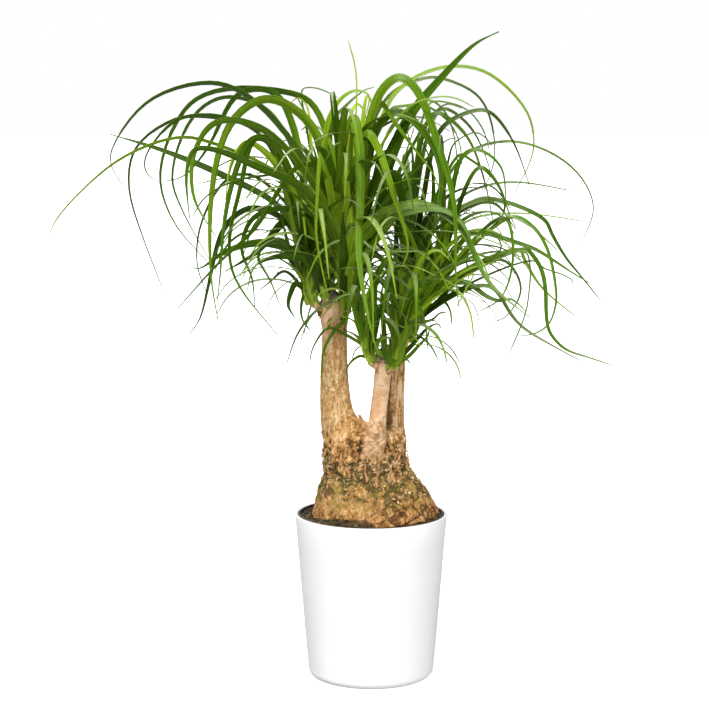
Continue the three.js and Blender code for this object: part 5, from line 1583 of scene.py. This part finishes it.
# Shape of a leaf, and where leaves leave their stem, as in the solids.
TIP_SHARE = 0.1
TAPER_POWER = 1.9
ROOT_NARROW = 0.65
ROOT_FADE = 16
ROOT_DROP = 45
ROOT_LOWEST = 0.32
ROOT_SPREAD = 0.45
ROOT_RUN = 16
SPRAY_STATIONS = 6
SPRAY_SUBSTEPS = 4
BOW_LEAST = 1
BOW_SPREAD = 0.9
LAUNCH_YOUNG = 82
LAUNCH_AGED = 44
DROOP_YOUNG = -48
DROOP_AGED = 36
BEARING_SPREAD = 0.9
LAUNCH_SPREAD = 18
DROOP_SPREAD = 34
SPREAD_MIDDLE = 0.4
DRIFT_RANGE = 0.8
SIDEWAYS_SHORTER = 0.42
ROLL_RANGE = 1.1
SWING_POWER = 1.25
SWING_STEPS = (0, -14, 14, -28, 28, -44, 44, -62, 62)
SAMPLE_STEP = 5
CELL = 16
LEAST_ROOM = 1.4
WIDTH_COUNTED = 0.75
STEM_ROOM = 0.8
STEM_PALE = 0.06
SOFTEN_ROUNDS = 6
TURN_WEIGHT = 0.22
GOLDEN_ANGLE = math.pi * (3 - math.sqrt(5))
GOLDEN_SHARE = (math.sqrt(5) - 1) / 2


def unit(vector: Array) -> Array:
    """The same direction at length 1."""
    return vector / np.maximum(np.linalg.norm(vector, axis=-1, keepdims=True), 1e-12)


def tangents(line: Array) -> Array:
    """The direction of a line at each of its points."""
    return unit(np.gradient(line, axis=0))


def square_to(tangent: Array, side: Array) -> Array:
    """Sideways directions, turned square to a line's own."""
    return unit(side - tangent * np.sum(side * tangent, axis=1, keepdims=True))


def runs_along(stations: Array) -> Array:
    """The length run at each station."""
    return np.concatenate([[0], np.cumsum(np.linalg.norm(np.diff(stations, axis=0), axis=1))])


def shares_along(stations: Array) -> Array:
    """The share of the whole length at each station."""
    runs = runs_along(stations)
    return runs / runs[-1]


def stem_point(axis: Rows, share: float) -> Array:
    """The point at a share of a stem's length.

    Args:
        axis: The stem's axis.
        share: The share.

    Returns:
        The point.
    """
    rows = np.array(axis, float)[:, :3]
    runs = runs_along(rows)
    return read_off(share * runs[-1], runs, rows)


def seen_stations(leaf: SeenLeaf, extra: float, order: int) -> Array:
    """Stations of a seen leaf, in millimetres, swung along the line of sight.

    Args:
        leaf: The leaf.
        extra: A swing added to its own.
        order: Its number in the list, which spreads the roots along the stem.

    Returns:
        The stations, the root first.
    """
    axis = SHOOTS[leaf.shoot].axis
    low, high = axis[0][2], axis[-1][2]
    reach = min(1.0, max(ROOT_LOWEST, (leaf.route[1] - ROOT_DROP - low) / (high - low)))
    share = reach - (reach - ROOT_LOWEST) * ROOT_SPREAD * ((order * GOLDEN_SHARE) % 1)
    root = stem_point(axis, share)
    path = np.reshape(leaf.route, (-1, 2))
    runs = np.cumsum(np.hypot(*np.diff(np.vstack([root[[0, 2]], path]), axis=0).T))
    deep = root[1] + (leaf.swing + extra) * (runs / runs[-1]) ** SWING_POWER
    eye = EYE / MM
    near = 1 + deep / -eye[1]
    return np.vstack([root, np.stack([eye[0] + (path[:, 0] - eye[0]) * near, deep,
                                      eye[2] + (path[:, 1] - eye[2]) * near], axis=1)])


@dataclass(frozen=True)
class Bow:
    """How a leaf grows: bearing, steepness at both ends in degrees, length, where it bends, drift."""

    bearing: float
    launch: float
    droop: float
    length: float
    bend: float
    drift: float

    def stations(self, root: Array) -> Array:
        """Stations of the leaf, which bows down under its own weight.

        Args:
            root: Where it leaves its stem.

        Returns:
            The stations, the root first.
        """
        steps = SPRAY_STATIONS * SPRAY_SUBSTEPS
        launch, droop = math.radians(self.launch), math.radians(self.droop)
        here = root.copy()
        found = [here.copy()]
        for i in range(steps):
            share = (i + 0.5) / steps
            rise = launch + (droop - launch) * share ** self.bend
            flat = math.cos(rise) * self.length / steps
            heading = self.bearing + self.drift * share
            here += (flat * math.cos(heading), flat * math.sin(heading),
                     math.sin(rise) * self.length / steps)
            if (i + 1) % SPRAY_SUBSTEPS == 0:
                found.append(here.copy())
        return np.array(found)


def solid_width(share: float) -> float:
    """A solid leaf's width at a share of its length, over its full width."""
    return max(TIP_SHARE, 1 - share ** TAPER_POWER) * (1 - ROOT_NARROW * math.exp(-share * ROOT_FADE))


class Room:
    """The space that leaves and stems have taken, filed by cell, in millimetres."""

    def __init__(self) -> None:
        """Starts with the space of the limbs and the stems."""
        self.cells: dict[tuple[int, int, int], list[tuple[float, float, float, float, str]]] = {}
        for limb in (LEFT_TRUNK, FRONT_BRANCH, BACK_TRUNK):
            self.take_stem("trunk", limb)
        for name, shoot in SHOOTS.items():
            self.take_stem(name, shoot.axis[1:])

    @staticmethod
    def samples(stations: Array, half_at: Callable[[float], float]) -> list[tuple[float, ...]]:
        """Points every few millimetres along straight stretches.

        Args:
            stations: The ends of the stretches.
            half_at: Gives half the width at a share of the length.

        Returns:
            For each point x, y, z and half the width there.
        """
        shares = shares_along(stations)
        found = []
        for i in range(len(stations) - 1):
            step = stations[i + 1] - stations[i]
            count = max(1, math.ceil(float(np.linalg.norm(step)) / SAMPLE_STEP))
            for k in range(count):
                share = shares[i] + (shares[i + 1] - shares[i]) * k / count
                found.append((*(stations[i] + step * (k / count)), half_at(share)))
        return found

    @staticmethod
    def cell(x: float, y: float, z: float) -> tuple[int, int, int]:
        """The cell that a point lies in."""
        return math.floor(x / CELL), math.floor(y / CELL), math.floor(z / CELL)

    def take(self, owner: str, samples: Samples) -> None:
        """Files samples as an owner's."""
        for x, y, z, half in samples:
            self.cells.setdefault(self.cell(x, y, z), []).append((x, y, z, half, owner))

    def take_stem(self, owner: str, rows: Rows) -> None:
        """Files a limb or stem, a little wider than it is.

        Args:
            owner: Whose it is.
            rows: Its axis as x, y, z and radius.
        """
        stations = np.array(rows, float)[:, :3]
        shares = shares_along(stations)
        self.take(owner, self.samples(stations, lambda share: (
            rows[np.searchsorted(shares, share, "right") - 1][3] + STEM_ROOM) / WIDTH_COUNTED))

    def around(self, owner: str, samples: Samples) -> float:
        """The least room between an owner's samples and what others hold.

        Args:
            owner: The owner.
            samples: The samples.

        Returns:
            The least room, at most the size of a cell.
        """
        least = float(CELL)
        for x, y, z, half in samples:
            i, j, k = self.cell(x, y, z)
            for near in product((i - 1, i, i + 1), (j - 1, j, j + 1), (k - 1, k, k + 1)):
                for u, v, w, other, holder in self.cells.get(near, ()):
                    if holder != owner:
                        apart = math.sqrt((x - u) ** 2 + (y - v) ** 2 + (z - w) ** 2)
                        least = min(least, apart - WIDTH_COUNTED * (half + other))
        return least


class BladeKind(Enum):
    """How finely a leaf is modelled: faces across and along."""

    BROAD = (4, 36)
    MIDDLE = (2, 24)
    FINE = (1, 15)


@dataclass(frozen=True)
class Blade:
    """A flat pattern of a leaf, 1 wide, 1 long and 1 thick, which each leaf bends along its own line."""

    across: Array
    along: Array
    through: Array
    faces: Array
    rows: int

    @staticmethod
    def model(kind: BladeKind) -> "Blade":
        """Models the pattern from a grid given thickness.

        Args:
            kind: How fine it is.

        Returns:
            The pattern.
        """
        wide, long = kind.value
        piece = added(bpy.ops.mesh.primitive_grid_add, x_subdivisions=wide, y_subdivisions=long, size=1)
        apply_modifier(piece, "SOLIDIFY", thickness=1, offset=0)
        shape = points_of(piece)
        faces = np.array([face.vertices[:] for face in piece.data.polygons])
        along = shape[:, 1] + 0.5
        rows = len(np.unique(np.round(along, 4)))
        bpy.data.objects.remove(piece)
        return Blade(shape[:, 0], along, shape[:, 2], faces, rows)


def smooth_line(stations: Array, count: int) -> Array:
    """A smooth line through stations, with closer points where it turns more.

    Args:
        stations: The points that it passes through.
        count: How many points it gets.

    Returns:
        The points.
    """
    ends = [2 * stations[0] - stations[1], *stations, 2 * stations[-1] - stations[-2]]
    found = [stations[0]]
    for p0, p1, p2, p3 in zip(ends, ends[1:], ends[2:], ends[3:]):
        t1 = np.linalg.norm(p1 - p0) ** 0.5
        t2 = t1 + np.linalg.norm(p2 - p1) ** 0.5
        t3 = t2 + np.linalg.norm(p3 - p2) ** 0.5
        for t in np.linspace(t1, t2, 11)[1:]:
            a1 = (t1 - t) / t1 * p0 + t / t1 * p1
            a2 = (t2 - t) / (t2 - t1) * p1 + (t - t1) / (t2 - t1) * p2
            a3 = (t3 - t) / (t3 - t2) * p2 + (t - t2) / (t3 - t2) * p3
            b1 = (t2 - t) / t2 * a1 + t / t2 * a2
            b2 = (t3 - t) / (t3 - t1) * a2 + (t - t1) / (t3 - t1) * a3
            found.append((t2 - t) / (t2 - t1) * b1 + (t - t1) / (t2 - t1) * b2)
    line = np.array(found)
    for _ in range(SOFTEN_ROUNDS):
        line[1:-1] = (line[:-2] + 2 * line[1:-1] + line[2:]) / 4
    step = np.diff(line, axis=0)
    length = np.linalg.norm(step, axis=1)
    turn = np.zeros(len(length))
    turn[1:] = np.arccos(np.clip(np.sum(unit(step[1:]) * unit(step[:-1]), axis=1), -1, 1))
    effort = np.concatenate([[0], np.cumsum(length / length.sum() + TURN_WEIGHT * turn)])
    return read_off(np.linspace(0, effort[-1], count), effort, line)


def clasped(axis: Rows, stations: Array) -> Array:
    """Starts a leaf lower on its stem's side, so that its root clasps the stem.

    Args:
        axis: The stem's axis.
        stations: The leaf's stations, the root first.

    Returns:
        The stations with the new start.
    """
    rows = np.array(axis, float)
    root = stations[0]
    out = unit((stations[1] - root) * (1, 1, 0))
    radius = np.interp(root[2], rows[:, 2], rows[:, 3])
    foot = read_off(max(rows[1, 2], root[2] - ROOT_RUN), rows[:, 2], rows)
    return np.vstack([foot[:3] + out * foot[3] * 0.9, root + out * radius * 1.05, stations[1:]])


@dataclass
class Foliage:
    """The leaves of one shoot, gathered as they grow and made one mesh at the end."""

    thickness: float = 0.45
    root_widen: float = 0.55
    root_wrap: float = 3.4
    waist: float = 0.35
    waist_length: float = 0.13
    tip: float = 0.08
    hair: float = 2.1
    hair_power: float = 30
    sheath: float = 0.05
    taper: float = 2.3
    fold: float = 0.9
    fold_eases: float = 0.6
    under_sheen: float = 0.45
    points: list[Array] = field(default_factory=list)
    faces: list[Array] = field(default_factory=list)
    marks: list[Array] = field(default_factory=list)
    maps: list[Array] = field(default_factory=list)
    count: int = 0

    def widths(self, along: Array) -> Array:
        """Width over full width at shares of the length.

        Args:
            along: The shares.

        Returns:
            The widths, clasping at the root and long and fine at the tip.
        """
        waist = 1 - self.waist * np.exp(-along / self.waist_length)
        body = np.maximum(self.tip, 1 - along ** self.taper) * waist
        return body * (1 + self.root_widen * np.exp(-along / self.sheath))

    def grow(self, blade: Blade, line: Array, side: Array, width: float, tone: float,
             clasp: float, pale: float = 1.0) -> None:
        """Bends a pattern along a line.

        Args:
            blade: The pattern.
            line: One point for each row of the pattern, in millimetres.
            side: At each point the way that the leaf's width lies.
            width: The full width.
            tone: How pale the leaf is, from 0 to 1.
            clasp: The largest radius of its root's wrap, in millimetres.
            pale: Under 1 keeps the root's pale colour further along.
        """
        along = shares_along(line)
        tangent = tangents(line)
        side = square_to(tangent, side)
        up = np.cross(tangent, side)
        if up[np.argmax(line[:, 2])][2] < 0:
            side, up = -side, -up
        full = np.maximum(width * self.widths(along), self.hair * (1 - along ** self.hair_power))
        clasping = np.exp(-along / self.sheath)
        bend = self.fold * (1 - self.fold_eases * along) + self.root_wrap * clasping
        slim = min(1.0, clasp * bend[0] / full[0])
        full *= 1 - (1 - slim) * clasping
        row = np.rint(blade.along * (blade.rows - 1)).astype(int)
        angle = bend[row] * blade.across
        radius = full[row] / bend[row]
        sideways = radius * np.sin(angle)
        raised = radius * (1 - np.cos(angle)) + blade.through * self.thickness
        place = line[row] + side[row] * sideways[:, None] + up[row] * raised[:, None]
        # Where the painted sheen goes: stretches that lie level past the root, less on the underside.
        level = np.clip(1 - np.abs(tangent[row, 2]), 0, 1) * smooth(along[row], 0.12, 0.35)
        sheen = level * np.where(blade.through > 0, 1.0, self.under_sheen)
        self.marks.append(np.stack([np.full(len(row), tone), along[row] * pale, sheen], axis=1))
        self.points.append(place * MM)
        self.maps.append(np.stack([blade.across + 0.5 + self.count, along[row]], axis=1))
        self.faces.append(blade.faces + self.count)
        self.count += len(place)

    def piece(self, name: str) -> Piece:
        """Makes the gathered leaves one object.

        Args:
            name: The object's name.

        Returns:
            The object.
        """
        faces = np.concatenate(self.faces)
        made = gathered(name, self.points, faces.tolist())
        layer = made.data.uv_layers.new(name="leaf_map")
        layer.data.foreach_set("uv", np.concatenate(self.maps)[faces.ravel()].astype(np.float32).ravel())
        paint_points(made, "leaf", np.concatenate(self.marks))
        with editing(made):
            bpy.ops.mesh.normals_make_consistent(inside=False)
        return made


@dataclass
class Crown:
    """All shoots with their leaves."""

    wisps: int = 5
    bracts: int = 5
    scales: int = 9
    clasp: float = 0.8
    tone_spread: float = 0.27
    shifted_spread: float = 0.12
    blades: dict[BladeKind, Blade] = field(default_factory=dict)
    room: Room = field(default_factory=Room)
    draws: Draws = field(default_factory=lambda: Draws(SEED))
    tones: Draws = field(default_factory=lambda: Draws(SEED + 3))

    def build(self) -> None:
        """Grows every shoot, the seen leaves first, then those that fill it all round."""
        self.blades.update((kind, Blade.model(kind)) for kind in BladeKind)
        foliage = {name: Foliage() for name in SHOOTS}
        for order, leaf in enumerate(SEEN_LEAVES):
            self.grow_seen(leaf, order, foliage[leaf.shoot])
        for name, shoot in SHOOTS.items():
            self.grow_spray(shoot, foliage[name])
        for order, leaf in enumerate(MIDDLE_LEAVES):
            self.grow_seen(leaf, order, foliage[leaf.shoot])
        for name, shoot in SHOOTS.items():
            self.grow_wisps(shoot, foliage[name])
            self.grow_bracts(shoot, foliage[name])
        for name, shoot in SHOOTS.items():
            piece = foliage[name].piece("leaves_" + name.removeprefix("shoot_"))
            join(piece, self.stem(shoot))
            shade(piece, 38)
            settle(piece, "leaf", LEAF.material(), name)
        torn = Foliage(root_wrap=1.2, root_widen=0.2, waist=0.0, taper=4.0, tip=0.35)
        for shoot in SHOOTS.values():
            self.grow_scales(shoot, torn)
        piece = torn.piece("torn_bark")
        shade(piece, 38)
        settle(piece, "bark", PEEL.material())

    def tone(self, shoot: Shoot, shift: float = 0.0) -> float:
        """A leaf's own tone, near its shoot's."""
        spread = self.shifted_spread if shift else self.tone_spread
        return min(1.0, max(0.0, shoot.tone + shift + self.tones.between(-spread, spread)))

    def grow_seen(self, leaf: SeenLeaf, order: int, foliage: Foliage) -> None:
        """Grows a leaf that can be followed from the front, where it clears the other shoots.

        Args:
            leaf: The leaf.
            order: Its number in its list.
            foliage: Where it is gathered.
        """
        width = leaf.width / max(leaf.shown_root, leaf.shown_tip)
        best, best_room = None, -math.inf
        samples: Samples = []
        for step in SWING_STEPS:
            stations = seen_stations(leaf, step, order)
            found = Room.samples(stations, lambda share: width * solid_width(share) / 2)
            room = self.room.around(leaf.shoot, found)
            if room > best_room:
                best, best_room, samples = stations, room, found
            if room > LEAST_ROOM:
                break
        self.room.take(leaf.shoot, samples)
        shoot = SHOOTS[leaf.shoot]
        blade = self.blades[BladeKind.BROAD]
        line = smooth_line(clasped(shoot.axis, best), blade.rows)
        sight = unit(line - EYE / MM)
        across = unit(np.cross(tangents(line), sight))
        face = (leaf.shown_root + (leaf.shown_tip - leaf.shown_root) * shares_along(line))[:, None]
        side = across * face + sight * np.sqrt(1 - face * face)
        foliage.grow(blade, line, side, width, self.tone(shoot, leaf.tone), shoot.axis[0][3] * self.clasp)

    def grow_spray(self, shoot: Shoot, foliage: Foliage) -> None:
        """Grows the leaves that fill a shoot all round, as in the solids.

        Args:
            shoot: The shoot.
            foliage: Where its leaves are gathered.
        """
        spray = shoot.spray
        for k in range(spray.count):
            youth = k / (spray.count - 1)
            bearing = k * GOLDEN_ANGLE + BEARING_SPREAD * self.draws.one()
            shorter = 1 - SIDEWAYS_SHORTER * math.cos(bearing) ** 2
            length = (spray.shortest + (spray.longest - spray.shortest) * self.draws.one()) * shorter
            launch = LAUNCH_YOUNG - LAUNCH_AGED * (1 - youth)
            launch += LAUNCH_SPREAD * (self.draws.one() - SPREAD_MIDDLE)
            droop = DROOP_YOUNG - DROOP_AGED * (1 - youth)
            droop += DROOP_SPREAD * (self.draws.one() - SPREAD_MIDDLE)
            bow = Bow(bearing, launch, droop, length, BOW_LEAST + BOW_SPREAD * self.draws.one(),
                      DRIFT_RANGE * (self.draws.one() - 0.5))
            roll = (self.draws.one() - 0.5) * ROLL_RANGE
            width = spray.width * (0.75 + 0.35 * self.draws.one())
            start = ROOT_LOWEST + (1 - ROOT_LOWEST) * youth
            self.bowed(shoot, foliage, BladeKind.MIDDLE, start, bow, roll, width)

    def grow_wisps(self, shoot: Shoot, foliage: Foliage) -> None:
        """Grows thin young leaves between the others.

        Args:
            shoot: The shoot.
            foliage: Where its leaves are gathered.
        """
        spray = shoot.spray
        draws = Draws(SEED + 5 + spray.count)
        for k in range(min(self.wisps, spray.count // 4)):
            bearing = k * GOLDEN_ANGLE + draws.between(0, 3)
            length = draws.between(spray.shortest, spray.longest)
            bow = Bow(bearing, draws.between(46, 84), draws.between(-70, -20),
                      length * (1 - 0.35 * math.cos(bearing) ** 2), draws.between(0.7, 1.8),
                      draws.between(-0.9, 0.9))
            self.bowed(shoot, foliage, BladeKind.FINE, draws.between(ROOT_LOWEST, 1), bow,
                       draws.between(-0.8, 0.8), draws.between(2.4, 4.2))

    def grow_bracts(self, shoot: Shoot, foliage: Foliage) -> None:
        """Grows the short pale sheaths that clasp the foot of a shoot.

        Args:
            shoot: The shoot.
            foliage: Where its leaves are gathered.
        """
        draws = Draws(SEED + 40 + shoot.spray.count)
        thick = shoot.axis[1][3]
        for k in range(self.bracts):
            bearing = k * GOLDEN_ANGLE + draws.between(0, 1)
            bow = Bow(bearing, draws.between(76, 88), draws.between(30, 70),
                      thick * draws.between(3.5, 7), draws.between(1.2, 2.4), draws.between(-0.3, 0.3))
            self.bowed(shoot, foliage, BladeKind.MIDDLE, ROOT_LOWEST * draws.between(0.75, 1.2), bow,
                       draws.between(-0.4, 0.4), thick * draws.between(0.9, 1.3), pale=0.35)

    def grow_scales(self, shoot: Shoot, torn: Foliage) -> None:
        """Grows the ragged ring of torn young bark that a shoot broke through.

        Args:
            shoot: The shoot.
            torn: Where the scales are gathered.
        """
        draws = Draws(SEED + 60 + shoot.spray.count)
        base, foot = np.array(shoot.axis[0][:3], float), np.array(shoot.axis[1][:3], float)
        thick = shoot.axis[1][3]
        blade = self.blades[BladeKind.FINE]
        for k in range(self.scales):
            bearing = math.tau * (k + draws.between(0, 0.7)) / self.scales
            out = np.array([math.cos(bearing), math.sin(bearing), 0.0])
            up = np.array([0.0, 0.0, 1.0])
            tall = draws.between(2.0, 6.5)
            flare = draws.between(0.4, 3.2)
            line = np.array([base + (foot - base) * 0.2 + out * thick * 0.5,
                             base + (foot - base) * 0.65 + out * (thick + 0.2),
                             foot + out * (thick + 0.6) + up * (tall * 0.4 - 1),
                             foot + out * (thick + flare) + up * (tall - 1)])
            level = np.tile(np.cross(up, out), (blade.rows, 1))
            torn.grow(blade, smooth_line(line, blade.rows), level, thick * draws.between(0.7, 1.3), 0.5,
                      thick * 3)

    def bowed(self, shoot: Shoot, foliage: Foliage, kind: BladeKind, start: float, bow: Bow,
              roll: float, width: float, pale: float = 1.0) -> None:
        """Bends a pattern along a bow, level at the root and rolled towards the tip.

        Args:
            shoot: The shoot that it grows from.
            foliage: Where it is gathered.
            kind: How fine the pattern is.
            start: The share of the stem's length at its root.
            bow: How it bends.
            roll: How far its tip is rolled about its length.
            width: The full width.
            pale: Under 1 keeps the root's pale colour further along.
        """
        blade = self.blades[kind]
        stations = bow.stations(stem_point(shoot.axis, start))
        line = smooth_line(clasped(shoot.axis, stations), blade.rows)
        tangent = tangents(line)
        level = np.tile([-math.sin(bow.bearing), math.cos(bow.bearing), 0.0], (blade.rows, 1))
        level = square_to(tangent, level)
        turn = (roll * shares_along(line))[:, None]
        side = level * np.cos(turn) + np.cross(tangent, level) * np.sin(turn)
        foliage.grow(blade, line, side, width, self.tone(shoot), shoot.axis[0][3] * self.clasp, pale)

    def stem(self, shoot: Shoot) -> Piece:
        """Makes the stem itself, extruded ring by ring from a circle.

        Args:
            shoot: The shoot.

        Returns:
            The stem, painted in its shoot's tone.
        """
        rows = np.array(shoot.axis, float) * MM
        piece = added(bpy.ops.mesh.primitive_circle_add, vertices=14, radius=rows[0, 3], fill_type="NGON",
                      location=rows[0, :3])
        bpy.ops.object.transform_apply(location=True, rotation=True, scale=True)
        with editing(piece):
            for here, after in zip(rows, rows[1:]):
                bpy.ops.mesh.extrude_region_move(
                    TRANSFORM_OT_translate={"value": Vector(after[:3] - here[:3])})
                grow = after[3] / here[3]
                bpy.ops.transform.resize(value=(grow, grow, 1), center_override=Vector(after[:3]))
            bpy.ops.mesh.select_all(action="SELECT")
            bpy.ops.mesh.normals_make_consistent(inside=False)
        paint_points(piece, "leaf", np.tile([shoot.tone, STEM_PALE, 0.0], (len(piece.data.vertices), 1)))
        return piece


@dataclass(frozen=True)
class Lamp:
    """A broad, far lamp: how high and where it stands and how wide it looks, in degrees, and its power."""

    name: str
    elevation: float
    bearing: float
    softness: float
    power: float

    def hang(self) -> None:
        """Puts the lamp in the scene, shining at the origin."""
        light = bpy.data.lights.new(self.name, "SUN")
        light.angle = math.radians(self.softness)
        light.energy = self.power
        lamp = bpy.data.objects.new(self.name, light)
        up, turn = math.radians(self.elevation), math.radians(self.bearing)
        toward = Vector((math.cos(up) * math.cos(turn), math.cos(up) * math.sin(turn), math.sin(up)))
        lamp.location = toward * 3
        lamp.rotation_euler = toward.to_track_quat("Z", "Y").to_euler()
        bpy.context.scene.collection.objects.link(lamp)


LAMPS = (Lamp("top_key", 57, -115, 22, 3.45), Lamp("front_fill", 16, -74, 45, 1.22),
         Lamp("side_fill", 10, 6, 50, 1.05), Lamp("back_fill", 30, 112, 40, 1.1))


@dataclass
class Studio:
    """Plain pale floor, soft light and the camera at the photograph's angle."""

    floor_size: float = 60.0
    ambient: float = 0.08
    mirrored: float = 0.20

    def build(self) -> None:
        """Sets the stage."""
        floor = added(bpy.ops.mesh.primitive_plane_add, size=self.floor_size, location=(0, 0, 0))
        floor.name = "floor"
        floor.data.materials.append(FLOOR.material())
        world = bpy.data.worlds.new("soft_white")
        world.use_nodes = True
        wiring = Wiring(world.node_tree)
        paths = wiring.add("LightPath").outputs
        glossy = wiring.rise(paths["Is Glossy Ray"], 0.0, 1.0, self.ambient, self.mirrored)
        strength = wiring.sum(glossy, paths["Is Camera Ray"], "MAXIMUM")
        wiring.feed(world.node_tree.nodes["Background"], {0: rgb(1.0, 1.0, 1.0), 1: strength})
        bpy.context.scene.world = world
        for lamp in LAMPS:
            lamp.hang()
        lens = bpy.data.cameras.new("camera")
        lens.lens = LENS
        lens.sensor_width = SENSOR
        camera = bpy.data.objects.new("camera", lens)
        camera.location = EYE
        camera.rotation_euler = (math.pi / 2 - LOOK_DOWN, 0, 0)
        bpy.context.scene.collection.objects.link(camera)
        bpy.context.scene.camera = camera
        bpy.context.scene.view_settings.view_transform = "Standard"
        bpy.context.scene.view_settings.look = "None"


def main() -> None:
    """Builds the studio and every piece."""
    logging.basicConfig(level=logging.INFO, format="%(name)s: %(message)s")
    for assembly in (Studio, CoverPot, NurseryPot, Soil, Trunk, Crown):
        assembly().build()
    bpy.context.view_layer.update()


if __name__ == "__main__":
    main()
